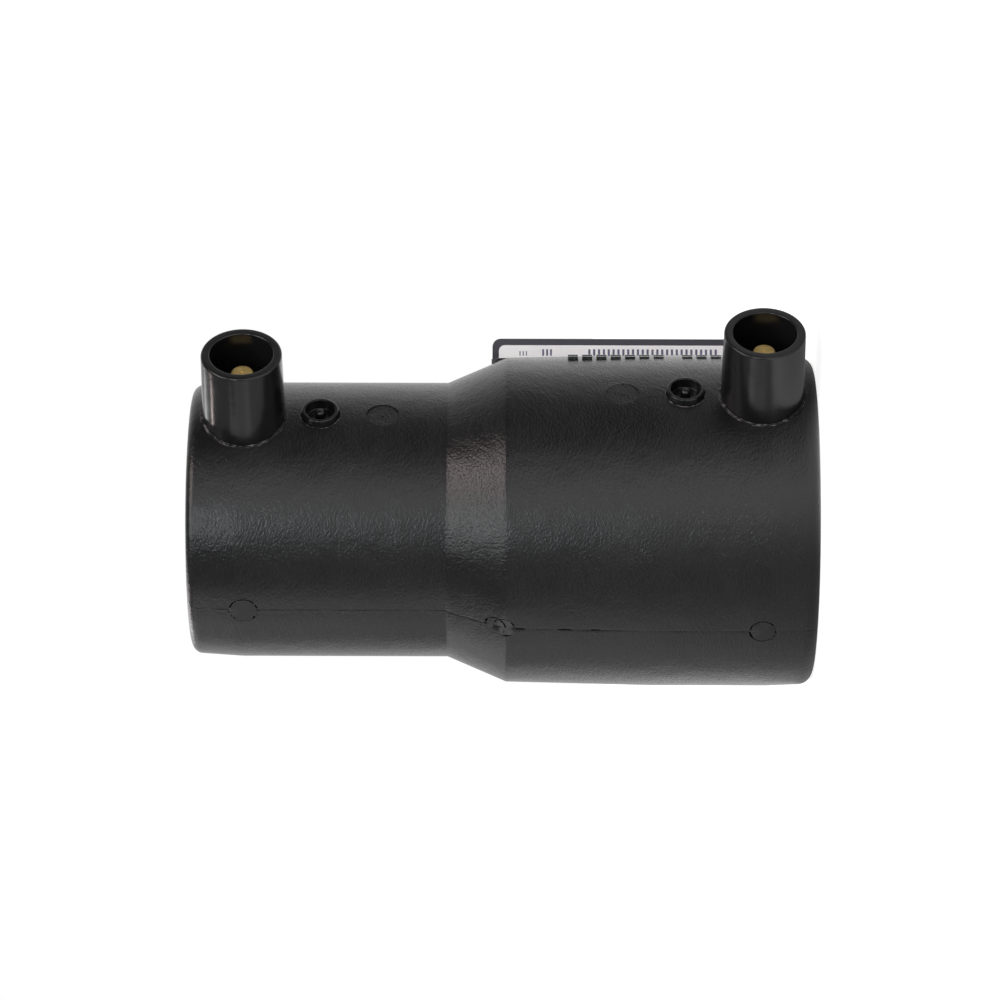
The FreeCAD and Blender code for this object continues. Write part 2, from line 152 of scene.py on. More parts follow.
class Graph:
    """A node tree that is filled from expressions."""

    def __init__(self, tree: bpy.types.NodeTree) -> None:
        """Hold the tree."""
        self.tree = tree

    def node(
        self, kind: str, inputs: Mapping[str | int, Any] | None = None, **settings: Any
    ) -> bpy.types.Node:
        """Add a node.

        Args:
            kind: the node's type.
            inputs: a plain value or a link for each socket, by name or place.
            settings: its properties, set first.

        Returns:
            The node.
        """
        node = self.tree.nodes.new(kind)
        for name, value in settings.items():
            setattr(node, name, value)
        for name, value in (inputs or {}).items():
            socket = node.inputs[name]
            if isinstance(value, Value):
                self.tree.links.new(value.socket, socket)
            else:
                socket.default_value = (*value, 1.0) if socket.type == "RGBA" else value
        return node

    def value(
        self,
        kind: str,
        inputs: Mapping[str | int, Any] | None = None,
        output: str | int = 0,
        **settings: Any,
    ) -> Value:
        """Add a node as `node` does, and take the output with a name or place."""
        return Value(self, self.node(kind, inputs, **settings).outputs[output])

    def math(self, operation: str, *operands: Any) -> Value:
        """Math node on two operands or one."""
        return self.value("ShaderNodeMath", dict(enumerate(operands)), operation=operation)

    def vector(self, operation: str, *operands: Any) -> Value:
        """Vector Math node, with its number where the operation gives one."""
        output = "Value" if operation in ("LENGTH", "DOT_PRODUCT") else "Vector"
        inputs = dict(enumerate(operands))
        return self.value("ShaderNodeVectorMath", inputs, output, operation=operation)

    def separate(self, vector: Value) -> tuple[Value, ...]:
        """The three parts of a vector."""
        node = self.node("ShaderNodeSeparateXYZ", {0: vector})
        return tuple(Value(self, output) for output in node.outputs)

    def combine(self, *parts: Any) -> Value:
        """Vector from its three parts."""
        return self.value("ShaderNodeCombineXYZ", dict(enumerate(parts)))

    @cached_property
    def place(self) -> Value:
        """Place of the shaded point in the object's own coordinates."""
        return self.value("ShaderNodeTexCoord", output="Object")

    def noise(self, layer: "Layer", place: Value | None = None) -> Value:
        """Noise from 0 to 1, at the shaded point or another place."""
        inputs = {
            "Vector": place or self.place,
            "Scale": 1.0 / layer.size,
            "Detail": layer.detail,
            "Roughness": layer.roughness,
            "Distortion": layer.distortion,
        }
        return self.value("ShaderNodeTexNoise", inputs)

    def ramp(self, value: Value, low: float, high: float) -> Value:
        """Grey that rises evenly from black at one value to white at another."""
        node = self.node("ShaderNodeValToRGB", {0: value})
        for element, place in zip(node.color_ramp.elements, (low, high)):
            element.position = place
        return Value(self, node.outputs[0])

    def mix(self, factor: Any, low: Any, high: Any) -> Value:
        """Colour between two others."""
        return self.value("ShaderNodeMix", {0: factor, 6: low, 7: high}, 2, data_type="RGBA")

    def surface(
        self,
        colour: Value,
        roughness: Value,
        relief: Value,
        depth: float,
        specular: float,
        metallic: float = 0.0,
    ) -> Value:
        """Principled shader.

        Args:
            colour: base colour.
            roughness: roughness.
            relief: height of the surface, from 0 to 1.
            depth: what the relief's 1 stands for.
            specular: level of the clear reflection.
            metallic: share of metal.

        Returns:
            The shader.
        """
        inputs = {
            "Base Color": colour,
            "Roughness": roughness,
            "Normal": self.value("ShaderNodeBump", {"Height": relief, "Distance": depth}),
            "Specular IOR Level": specular,
            "Metallic": metallic,
        }
        return self.value("ShaderNodeBsdfPrincipled", inputs)

    def seen_and_mirrored(self) -> tuple[Value, Value]:
        """1 for what is seen, straight or through glass, and 1 for what is mirrored, else 0."""
        rays = self.node("ShaderNodeLightPath")
        straight, mirrored, through = (
            Value(self, rays.outputs[f"Is {kind} Ray"])
            for kind in ("Camera", "Glossy", "Transmission")
        )
        return (straight + through).at_most(1.0), mirrored


@dataclass(frozen=True)
class Layer:
    """A layer of noise.

    Attributes:
        size: size of its largest features.
        detail: how many finer ones it has.
        roughness: how strong those are.
        distortion: how far it is pushed about.
    """

    size: float
    detail: float = 2.0
    roughness: float = 0.5
    distortion: float = 0.0


@dataclass(frozen=True)
class Finish(ABC):
    """A finish, made into a material once."""

    name: str

    def make(self) -> Material:
        """Material with this finish."""
        material = bpy.data.materials.new(self.name)
        material.use_nodes = True
        graph = Graph(material.node_tree)
        graph.tree.nodes.clear()
        graph.node("ShaderNodeOutputMaterial", {"Surface": self.shade(graph)})
        return material

    @abstractmethod
    def shade(self, graph: Graph) -> Value:
        """Add the finish's nodes and return its shader."""


@dataclass(frozen=True)
class GrainedPolyethylene(Finish):
    """Black polyethylene with the spark-eroded grain of its mould.

    The bloom is a mix of patches and pits in the shares of `dust`, from `dust_edge` upwards.
    """

    colour: Colour = (0.0074, 0.0074, 0.0079)
    bloom: Colour = (0.015, 0.0146, 0.0150)
    wrinkles: Layer = Layer(0.58 * MM, 1.0, distortion=0.4)
    squeeze: float = 1.10
    pits: Layer = Layer(0.232 * MM, 1.0)
    pit_share: float = 0.45
    swells: Layer = Layer(5.22 * MM)
    swell_share: float = 1.9
    depth: float = 0.09 * MM
    patches: Layer = Layer(16.0 * MM, 3.0, 0.6)
    dust: Point = (0.7, 0.4)
    dust_edge: Point = (0.45, 0.8)
    roughness: float = 0.17
    dulled: float = 0.08
    specular: float = 0.42

    def shade(self, graph: Graph) -> Value:
        """Fine wrinkles, pits between them, and a faint uneven bloom."""
        squeezed = graph.vector("MULTIPLY", graph.place, (1.0, 1.0, self.squeeze))
        wrinkles = graph.noise(self.wrinkles, squeezed)
        pits, swells, patches = (
            graph.noise(layer) for layer in (self.pits, self.swells, self.patches)
        )
        dust = graph.ramp(patches * self.dust[0] + pits * self.dust[1], *self.dust_edge)
        return graph.surface(
            graph.mix(dust, self.colour, self.bloom),
            self.roughness + self.dulled * patches + self.dulled * pits,
            wrinkles + pits * self.pit_share + swells * self.swell_share,
            self.depth,
            self.specular,
        )


@dataclass(frozen=True)
class Mottled(Finish):
    """Finish that an uneven film changes: its colour, its roughness and its relief.

    Attributes:
        colour: where the film is thin.
        worn: where it is thick.
        film: the film.
        roughness: where the film is thin, and what the film adds.
        depth: depth of the film.
        edge: film where the colour starts to turn and where it has, if not 0 and 1.
        specular: level of the clear reflection.
        metallic: share of metal.
        fine_relief: share of the finer grain in the relief.
        fine_dulled: what that grain adds to the roughness.
    """

    colour: Colour
    worn: Colour
    film: Layer
    roughness: Point
    depth: float
    edge: Point | None = None
    specular: float = 0.5
    metallic: float = 0.0
    fine_relief: float = 0.0
    fine_dulled: float = 0.0

    def shade(self, graph: Graph) -> Value:
        """The film and a finer grain under it."""
        film, fine = graph.noise(self.film), self.fine(graph)
        least, added = self.roughness
        tone = graph.ramp(film, *self.edge) if self.edge else film
        return graph.surface(
            graph.mix(tone, self.colour, self.worn),
            least + added * film + self.fine_dulled * fine,
            film + self.fine_relief * fine,
            self.depth,
            self.specular,
            self.metallic,
        )

    def fine(self, graph: Graph) -> Value | float:
        """Finer grain from 0 to 1, where a finish has one."""
        return 0.0


@dataclass(frozen=True)
class SmoothPolyethylene(Mottled):
    """Black polyethylene from a polished mould, with faint flow lines and handling marks."""

    colour: Colour = (0.0060, 0.0060, 0.0066)
    worn: Colour = (0.010, 0.0098, 0.0102)
    film: Layer = Layer(5.0 * MM)
    roughness: Point = (0.12, 0.10)
    depth: float = 0.08 * MM
    specular: float = 0.42
    fine_relief: float = 0.0625
    fine_dulled: float = 0.05
    marks: Layer = Layer(0.4 * MM)

    def fine(self, graph: Graph) -> Value:
        """Handling marks."""
        return graph.noise(self.marks)


@dataclass(frozen=True)
class TornFlash(Mottled):
    """Thin polyethylene flash, with light torn stretches between dark ones."""

    colour: Colour = (0.012, 0.011, 0.011)
    worn: Colour = (0.30, 0.275, 0.27)
    film: Layer = Layer(1.1 * MM, 3.0, 0.7)
    roughness: Point = (0.30, 0.30)
    depth: float = 0.15 * MM
    edge: Point = (0.48, 0.68)
    specular: float = 0.4


@dataclass(frozen=True)
class TurnedBrass(Mottled):
    """Brass turned on a lathe, slightly dulled."""

    colour: Colour = (0.99, 0.77, 0.32)
    worn: Colour = (0.84, 0.60, 0.23)
    film: Layer = Layer(0.9 * MM, 3.0, 0.6)
    roughness: Point = (0.38, 0.18)
    depth: float = 0.027 * MM
    metallic: float = 1.0
    fine_relief: float = 2.0 / 3.0
    groove_pitch: float = 0.16 * MM

    def fine(self, graph: Graph) -> Value:
        """Circles of the tool on the end face, from the radius kept in each vertex."""
        name = Lathe.RADIUS
        radius = graph.value("ShaderNodeAttribute", output="Fac", attribute_name=name)
        return graph.math("SINE", radius * (math.tau / self.groove_pitch)) * 0.5 + 0.5


@dataclass(frozen=True)
class DrawnWire(Mottled):
    """Copper alloy resistance wire, whose thin skin of plastic gives it an uneven tone."""

    colour: Colour = (0.34, 0.20, 0.13)
    worn: Colour = (0.10, 0.065, 0.05)
    film: Layer = Layer(3.0 * MM, 3.0, 0.6)
    roughness: Point = (0.34, 0.2)
    depth: float = 0.05 * MM
    metallic: float = 0.8


@dataclass(frozen=True)
class Bars:
    """Row of plain printed bars, in millimetres.

    Attributes:
        pitch: from bar to bar.
        filled: share of the pitch that a bar fills.
        reach: where the row starts and ends along the label.
        depth: its upper and lower edge, from the label's free edge.
    """

    pitch: float
    filled: float
    reach: Point
    depth: Point

    def mask(self, along: Value, down: Value) -> Value:
        """1 on the bars, and 0 elsewhere."""
        filled = along.graph.math("FRACT", along / self.pitch).below(self.filled)
        return filled * along.between(*self.reach) * down.between(*self.depth)


@dataclass(frozen=True)
class PrintedFilm(Finish):
    """White film, printed with a dark border and plain bars in place of words and digits.

    Its border and the rounding of the border's inner corners are in millimetres. The film is
    whitest at its upper end, past the shares of its length in `bright_edge`.
    """

    sheet: "Sheet"
    border: float = 1.42
    inner_corner: float = 1.3
    film: Colour = (0.95, 0.94, 0.97)
    bright: Colour = (0.99, 0.99, 0.99)
    bright_edge: Point = (0.80, 0.97)
    ink: Colour = (0.040, 0.038, 0.052)
    bar_ink: Colour = (0.12, 0.12, 0.20)
    rows: Sequence[Bars] = (
        Bars(1.07, 0.46, (10.4, 39.0), (2.30, 3.80)),
        Bars(0.87, 0.50, (47.0, 49.6), (2.30, 3.80)),
        Bars(0.70, 0.35, (52.4, 54.5), (2.75, 3.80)),
        Bars(2.6, 0.72, (6.0, 52.0), (8.0, 9.1)),
        Bars(1.9, 0.72, (6.0, 52.0), (11.0, 12.1)),
        Bars(3.4, 0.72, (6.0, 52.0), (14.0, 15.1)),
        Bars(0.9, 0.55, (6.0, 52.0), (18.0, 27.0)),
    )
    clouds: Layer = Layer(9.0 * MM)
    gloss: Layer = Layer(1.2 * MM)
    roughness: Point = (0.30, 0.12)
    waves: Layer = Layer(7.0 * MM, 1.0)
    wave_depth: float = 0.06 * MM
    specular: float = 0.4

    def shade(self, graph: Graph) -> Value:
        """Print laid out on the film's UV map, whose whole is the label."""
        print_map = graph.value("ShaderNodeUVMap", uv_map=Sheet.UV)
        across, down, _ = graph.separate(print_map)
        length, height = self.sheet.length / MM, self.sheet.height / MM
        along, depth = across * length, down * height
        masks = [row.mask(along, depth) for row in self.rows]
        bars = sum(masks[1:], masks[0]).at_most(1.0)
        beyond = graph.math("SQRT", self.past(along, length) + self.past(depth, height))
        clean = graph.mix(graph.noise(self.clouds), self.film, self.bright)
        clean = graph.mix(graph.ramp(across, *self.bright_edge), clean, self.bright)
        printed = graph.mix(bars, clean, self.bar_ink)
        least, added = self.roughness
        return graph.surface(
            graph.mix(1.0 - beyond.below(self.inner_corner), printed, self.ink),
            least + added * graph.noise(self.gloss),
            graph.noise(self.waves),
            self.wave_depth,
            self.specular,
        )

    def past(self, value: Value, size: float) -> Value:
        """Square of how far a point lies past the straight part of a side of the field."""
        straight = size / 2.0 - self.border - self.inner_corner
        reach = (value.graph.math("ABSOLUTE", value - size / 2.0) - straight).at_least(0.0)
        return reach * reach


@dataclass(frozen=True)
class StudioFloor(Finish):
    """Pale floor that turns to the white of the surroundings between two distances, `fade`."""

    studio: "Surroundings"
    fade: Point = (0.16, 0.50)
    paint: float = 0.42
    near_glow: float = 0.85
    sheen: float = 0.15

    def shade(self, graph: Graph) -> Value:
        """Matt paint that keeps the shadow, with a glow for views and reflections alone."""
        turned = graph.vector("LENGTH", graph.place).step(*self.fade)
        seen, mirrored = graph.seen_and_mirrored()
        level = self.studio.level(graph, graph.vector("NORMALIZE", graph.place))
        glow = self.near_glow + (1.0 - self.near_glow) * turned
        strength = (seen + mirrored * level.at_least(self.sheen)) * glow
        paint = graph.value("ShaderNodeBsdfDiffuse", {"Color": (self.paint,) * 3})
        light = graph.value("ShaderNodeEmission", {"Color": WHITE, "Strength": strength})
        return graph.value("ShaderNodeAddShader", {0: paint, 1: light})


@dataclass(frozen=True)
class Surroundings:
    """Studio round the object, by the bearing about the pipe axis.

    Bearings are in degrees. They start towards the camera and grow over the picture's top. Each
    edge is where a change starts and where it ends.

    Attributes:
        towards: level direction of the camera.
        across: level direction of the picture's top.
        front: what the soft light about the camera adds.
        front_rise: edge of that light below the camera's line of sight.
        front_fall: edge of it above.
        lower: brightness in front and below the line of sight.
        upper: brightness of the dark stretch above it.
        upper_edge: edge of that stretch.
        table: brightness of the pale strip below the object.
        table_edge: edge of the strip, below the line of sight.
        table_shift: middle of the strip along the pipe axis.
        table_reach: edge of the strip along that axis.
        behind: brightness low behind the object.
        behind_edge: edge of that, below the line of sight.
        backdrop: brightness of the backdrop above and behind it.
        backdrop_edge: edge of the backdrop.
        overhead: brightness straight up the pipe axis.
    """

    towards: Corner
    across: Corner
    front: float = 1.10
    front_rise: Point = (-20.0, 14.0)
    front_fall: Point = (20.0, 56.0)
    lower: float = 0.26
    upper: float = 0.07
    upper_edge: Point = (10.0, 80.0)
    table: float = 0.52
    table_edge: Point = (40.0, 110.0)
    table_shift: float = 0.20
    table_reach: Point = (0.45, 0.75)
    behind: float = 0.80
    behind_edge: Point = (118.0, 140.0)
    backdrop: float = 1.0
    backdrop_edge: Point = (84.0, 136.0)
    overhead: float = 0.11

    def level(self, graph: Graph, way: Value) -> Value:
        """Brightness in a direction, a vector of length 1."""
        front = graph.vector("DOT_PRODUCT", way, self.towards)
        side = graph.vector("DOT_PRODUCT", way, self.across)
        above = graph.math("DEGREES", graph.math("ARCTAN2", side, front))
        climb = graph.math("ABSOLUTE", graph.separate(way)[2] - self.table_shift)
        darker = above.step(*self.upper_edge) * (self.lower - self.upper)
        backdrop = above.step(*self.backdrop_edge) * (self.backdrop - self.upper)
        table = (-above).step(*self.table_edge) * (1.0 - climb.step(*self.table_reach))
        behind = (-above).step(*self.behind_edge) * (self.behind - self.lower)
        below = (table * (self.table - self.lower)).at_least(behind)
        soft = above.step(*self.front_rise) - above.step(*self.front_fall)
        level = self.lower - darker + backdrop + below + soft * self.front
        levelness = graph.math("SQRT", front * front + side * side)
        return self.overhead + levelness * (level - self.overhead)


@dataclass
class Finishes:
    """The materials of the object."""

    moulded: Material
    smooth: Material
    flash: Material
    # Near-black, barely reflecting material: painted shade in the seam's crack and the flats'
    # grooves
    seam: Material
    brass: Material
    wire: Material
    label: Material


def clamped(value: float) -> float:
    """Value kept between 0 and 1."""
    return min(1.0, max(0.0, value))


def bell(value: float) -> float:
    """Bell curve that is 1 at 0."""
    return math.exp(-(value**2))


def rounded(corners: Sequence[Corner], closed: bool) -> list[Point]:
    """Outline with its corners rounded by arcs.

    Args:
        corners: radius, height and rounding of each corner.
        closed: whether the last corner joins the first.

    Returns:
        The outline's points.
    """
    places = [Vector(corner[:2]) for corner in corners]
    points: list[Point] = []
    for index, (here, corner) in enumerate(zip(places, corners)):
        inner = closed or 0 < index < len(corners) - 1
        if not inner or corner[2] == 0.0:
            points.append((here.x, here.y))
            continue
        before = (places[index - 1] - here).normalized()
        after = (places[(index + 1) % len(places)] - here).normalized()
        turn = math.pi - before.angle(after)
        reach = corner[2] * math.tan(turn / 2.0)
        start, finish = here + before * reach, here + after * reach
        centre = here + (before + after).normalized() * (corner[2] / math.cos(turn / 2.0))
        spoke = start - centre
        sense = 1.0 if spoke.cross(finish - centre) > 0.0 else -1.0
        steps = max(2, math.ceil(turn / ARC_STEP))
        for step in range(steps + 1):
            arm = Matrix.Rotation(sense * turn * step / steps, 2) @ spoke
            points.append((centre.x + arm.x, centre.y + arm.y))
    return points


def divided(outline: Sequence[Point], longest: float) -> list[Point]:
    """Outline whose runs are cut into steps no longer than a length."""
    points = [outline[0]]
    for start, finish in zip(outline, outline[1:]):
        steps = max(1, math.ceil(math.dist(start, finish) / longest))
        for step in range(1, steps + 1):
            share = step / steps
            points.append(tuple(a + (b - a) * share for a, b in zip(start, finish)))
    return points


def even_angles(steps: int) -> list[float]:
    """Angles of equal steps round a full turn."""
    return [math.tau * step / steps for step in range(steps)]


def direction(angle: float) -> Vector:
    """Level direction at an angle about the pipe axis."""
    return Vector((math.cos(angle), math.sin(angle), 0.0))


def outward(height: float) -> Matrix:
    """Stand a piece's own Z axis outwards, at a height on the pipe axis."""
    return Matrix.Translation((0.0, 0.0, height)) @ Matrix.Rotation(math.pi / 2.0, 4, "X")


def bridge(mesh: BMesh, low: Sequence, high: Sequence, finish: int = 0) -> None:
    """Join two rings of vertices by faces.

    Args:
        mesh: what they are in.
        low: one ring, or a single vertex.
        high: the other.
        finish: number of the faces' material.
    """
    count = max(len(low), len(high))
    for here in range(count):
        after = (here + 1) % count
        near = [low[here % len(low)], low[after % len(low)]]
        corners = dict.fromkeys([*near, high[after % len(high)], high[here % len(high)]])
        if len(corners) > 2:
            mesh.faces.new(list(corners)).material_index = finish


@dataclass
class Lathe:
    """A mesh that is turned from an outline.

    Attributes:
        outline: radius and height of each point.
        angles: stations of the turn.
        closed: whether the outline's last point joins its first.
        relief: what is added to the radius at an angle and a height.
        carved: number of the first points that the relief moves.
    """

    outline: Sequence[Point]
    angles: Sequence[float]
    closed: bool = False
    relief: Relief | None = None
    carved: int = 0

    RADIUS = "turned_radius"

    def mesh(self) -> BMesh:
        """Turn the outline: the carved faces take the first material, the others the second."""
        mesh = bmesh.new()
        kept = mesh.verts.layers.float.new(self.RADIUS)
        rings = []
        for index, (radius, height) in enumerate(self.outline):
            ring = []
            for angle in self.angles[:1] if radius == 0.0 else self.angles:
                lift = self.relief(angle, height) if index < self.carved else 0.0
                arm = radius + lift
                place = (arm * math.cos(angle), arm * math.sin(angle), height)
                vertex = mesh.verts.new(place)
                vertex[kept] = radius
                ring.append(vertex)
            rings.append(ring)
        if self.closed:
            rings.append(rings[0])
        for strip, (low, high) in enumerate(zip(rings, rings[1:])):
            bridge(mesh, low, high, int(strip >= self.carved - 1))
        bmesh.ops.recalc_face_normals(mesh, faces=mesh.faces)
        return mesh


def add_mesh(
    name: str,
    mesh: BMesh,
    materials: Sequence[Material],
    place: Matrix | None = None,
) -> Object:
    """Make an object of a mesh, with its place in the mesh.

    Args:
        name: the object's name.
        mesh: its faces, whose indices choose among the materials.
        materials: its material slots.
        place: where it goes.

    Returns:
        The object.
    """
    if place is not None:
        mesh.transform(place)
    for face in mesh.faces:
        face.material_index = min(face.material_index, len(materials) - 1)
    data = bpy.data.meshes.new(name)
    mesh.to_mesh(data)
    mesh.free()
    for material in materials:
        data.materials.append(material)
    return add_object(name, data)


def add_object(name: str, data: bpy.types.ID) -> Object:
    """Link an object with its data to the scene, shaded smooth between sharp edges."""
    piece = bpy.data.objects.new(name, data)
    bpy.context.scene.collection.objects.link(piece)
    if isinstance(data, bpy.types.Mesh):
        data.shade_smooth()
        data.set_sharp_from_angle(angle=SHARP)
    return piece


def plain_mesh(piece: Object) -> Object:
    """Replace an object by the plain mesh that its modifiers make of it."""
    depsgraph = bpy.context.evaluated_depsgraph_get()
    data = bpy.data.meshes.new_from_object(piece.evaluated_get(depsgraph), depsgraph=depsgraph)
    name = piece.name
    bpy.data.objects.remove(piece)
    data.name = name
    return add_object(name, data)


def present(piece: Object, slot: Slot, *replaced: str) -> None:
    """Hand a finished piece over to the frame.

    Args:
        piece: the piece.
        slot: the record's slot that it belongs to, which only the log message names.
        replaced: the nodes that it stands for.
    """
    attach(piece, "root")
    if replaced:
        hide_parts(*replaced)
    LOG.info("%s: %d faces, %s", piece.name, len(piece.data.polygons), slot.value)


class GeometryTree:
    """A geometry node tree with named inputs, run on one object and turned into a plain mesh."""

    KINDS = (
        (Material, "Material"),
        (tuple, "Vector"),
        (int, "Int"),
        (float, "Float"),
    )

    def __init__(self, name: str, values: Mapping[str, Any]) -> None:
        """Make the tree and its interface.

        Args:
            name: the tree's name.
            values: the named inputs, each with a value of its kind.
        """
        self.tree = bpy.data.node_groups.new(name, "GeometryNodeTree")
        self.keys = {"Geometry": self.socket("Geometry", "Geometry")}
        for label, value in values.items():
            kind = next(kind for base, kind in self.KINDS if isinstance(value, base))
            self.keys[label] = self.socket(label, kind)
        self.socket("Geometry", "Geometry", "OUTPUT")
        self.graph = Graph(self.tree)
        self.entry = self.graph.node("NodeGroupInput")

    def socket(self, label: str, kind: str, way: str = "INPUT") -> str:
        """Add a socket to the interface and return its identifier."""
        face = self.tree.interface
        made = face.new_socket(label, in_out=way, socket_type=f"NodeSocket{kind}")
        return made.identifier

    def __getitem__(self, label: str) -> Value:
        """One of the tree's inputs."""
        return Value(self.graph, self.entry.outputs[label])

    def circle(self, points: int, radius: Any) -> Value:
        """Round curve."""
        inputs = {"Resolution": points, "Radius": radius}
        return self.graph.value("GeometryNodeCurvePrimitiveCircle", inputs)

    def end(self, geometry: Value) -> None:
        """Close the tree: real faces in the material that is its input."""
        real = self.graph.value("GeometryNodeRealizeInstances", {"Geometry": geometry})
        inputs = {"Geometry": real, "Material": self["Material"]}
        dressed = self.graph.value("GeometryNodeSetMaterial", inputs)
        self.graph.node("NodeGroupOutput", {0: dressed})

    def run(
        self, name: str, values: Mapping[str, Any], data: bpy.types.ID | None = None
    ) -> Object:
        """Run the tree on new data.

        Args:
            name: the object's name.
            values: what the named inputs get.
            data: what the tree starts from, or nothing for an empty mesh.

        Returns:
            The object, a plain mesh.
        """
        carrier = add_object(name, data or bpy.data.meshes.new(name))
        modifier = carrier.modifiers.new(self.tree.name, "NODES")
        modifier.node_group = self.tree
        for label, value in values.items():
            modifier[self.keys[label]] = value
        return plain_mesh(carrier)


@dataclass(frozen=True)
class Barrel:
    """One end of the moulding.

    Attributes:
        end: which end.
        radius: outside.
        bore: inside.
        depth: mouth to pipe stop.
        passage: radius of the way through at the stop.
        start: first turn of the coil from the mouth.
        reach: length of the coil.
        turns: turns of the coil.
    """

    end: End
    radius: float
    bore: float
    depth: float
    passage: float
    start: float
    reach: float
    turns: int

    def height(self, distance: float) -> float:
        """Height over the origin of a point at a distance from this end's face."""
        return distance if self.end is End.LARGE else OVERALL - distance

    def node(self, kind: str) -> str:
        """Name of one of this end's nodes."""
        return f"{kind}_{self.end.value}_end"


LARGE = Barrel(
    End.LARGE,
    radius=35.1 * MM,
    bore=25.25 * MM,
    depth=54.0 * MM,
    passage=21.5 * MM,
    start=15.6 * MM,
    reach=24.0 * MM,
    turns=16,
)
SMALL = Barrel(
    End.SMALL,
    radius=29.1 * MM,
    bore=20.25 * MM,
    depth=48.0 * MM,
    passage=16.6 * MM,
    start=18.0 * MM,
    reach=19.2 * MM,
    turns=12,
)


@dataclass
class SubAssembly(ABC):
    """Something that adds finished pieces to the scene."""

    finishes: Finishes

    @abstractmethod
    def build(self) -> None:
        """Make the pieces and hand them over."""


@dataclass
class Insert(SubAssembly):
    """Round insert that stands outwards in its seat in a barrel.

    Attributes:
        kind: its outer piece, after which its beads of flash are named.
        from_end: its axis to the end face.
        seat: depth of its seat.
        height: its rim over the barrel.
        base_radius: its outside in the seat.
        rim_radius: its outside at the rim.
        well_radius: its well at the rim.
        well_depth: rim to the well's floor.
        hole_radius: narrower hole under the seat.
        hole_depth: depth of that hole.
        cut: how far over the barrel the shell goes that cuts the seat.
        bead: size of its beads of flash, against the largest.
    """

    barrel: Barrel
    kind: str
    from_end: float
    seat: float
    height: float
    base_radius: float
    rim_radius: float
    well_radius: float
    well_depth: float
    hole_radius: float
    hole_depth: float
    cut: float
    bead: float
    steps: int
    play: float = 0.03 * MM

    def __post_init__(self) -> None:
        """Work out its place, and its levels as distances from the pipe axis."""
        self.place = outward(self.barrel.height(self.from_end))
        self.low = self.barrel.radius - self.seat
        self.foot = self.low - self.hole_depth
        self.rim = self.barrel.radius + self.height
        self.floor = self.rim - self.well_depth

    def add(self, kind: str, node: str, mesh: BMesh, slot: Slot) -> None:
        """Stand a piece in the insert's place and hand it over.

        Args:
            kind: the piece's name, without its end.
            node: the node that it replaces, without its end.
            mesh: its faces.
            slot: its slot, which also chooses its finish.
        """
        finish = self.finishes.brass if slot is Slot.BRASS else self.finishes.smooth
        piece = add_mesh(self.barrel.node(kind), mesh, [finish], self.place)
        present(piece, slot, self.barrel.node(node))

    def cutter(self) -> BMesh:
        """Shell that cuts the seat, and the hole under it, into the barrel."""
        wide, top = self.base_radius + self.play, self.barrel.radius + self.cut
        corners = [
            (0.0, self.foot),
            (self.hole_radius, self.foot),
            (self.hole_radius, self.low),
            (wide, self.low),
            (wide, top),
            (0.0, top),
        ]
        mesh = Lathe(corners, even_angles(self.steps)).mesh()
        mesh.transform(self.place)
        return mesh


@dataclass
class Terminal(Insert):
    """Contact pin in its shroud.

    The dot in the pin's tip has a radius, its floor's radius and a depth.
    """

    kind: str = "shroud"
    from_end: float = 11.7 * MM
    seat: float = 2.4 * MM
    height: float = 16.2 * MM
    base_radius: float = 8.72 * MM
    rim_radius: float = 8.40 * MM
    well_radius: float = 6.56 * MM
    well_depth: float = 15.7 * MM
    hole_radius: float = 3.26 * MM
    hole_depth: float = 2.2 * MM
    cut: float = 16.2 * MM
    bead: float = 1.0
    steps: int = 96
    floor_radius: float = 6.42 * MM
    shank_radius: float = 3.2 * MM
    pin_radius: float = 2.35 * MM
    pin_below: float = 4.9 * MM
    pin_step: float = 0.8 * MM
    dot: Corner = (0.24 * MM, 0.14 * MM, 0.30 * MM)

    def build(self) -> None:
        """Shroud and pin."""
        self.add("shroud", "terminal_shroud", self.shroud(), Slot.SMOOTH)
        self.add("pin", "terminal_pin", self.pin(), Slot.BRASS)

    def shroud(self) -> BMesh:
        """Drafted cup with a rounded mouth."""
        corners = [
            (self.hole_radius, self.low, 0.0),
            (self.base_radius, self.low, 0.0),
            (self.rim_radius, self.rim, 0.45 * MM),
            (self.well_radius, self.rim, 0.30 * MM),
            (self.floor_radius, self.floor, 0.6 * MM),
            (self.hole_radius, self.floor, 0.0),
        ]
        outline = rounded(corners, closed=True)
        return Lathe(outline, even_angles(self.steps), closed=True).mesh()

    def pin(self) -> BMesh:
        """Shank, contact and the turning tool's dot in its tip."""
        tip = self.rim - self.pin_below
        dot_radius, dot_floor, dot_depth = self.dot
        corners = [
            (0.0, self.foot, 0.0),
            (self.shank_radius, self.foot, 0.15 * MM),
            (self.shank_radius, self.floor, 0.1 * MM),
            (self.pin_radius, self.floor, 0.1 * MM),
            (self.pin_radius, tip, 0.42 * MM),
            (dot_radius, tip, 0.03 * MM),
            (dot_floor, tip - dot_depth, 0.02 * MM),
            (0.0, tip - dot_depth, 0.0),
        ]
        outline = divided(rounded(corners, closed=False), self.pin_step)
        return Lathe(outline, even_angles(self.steps // 2)).mesh()


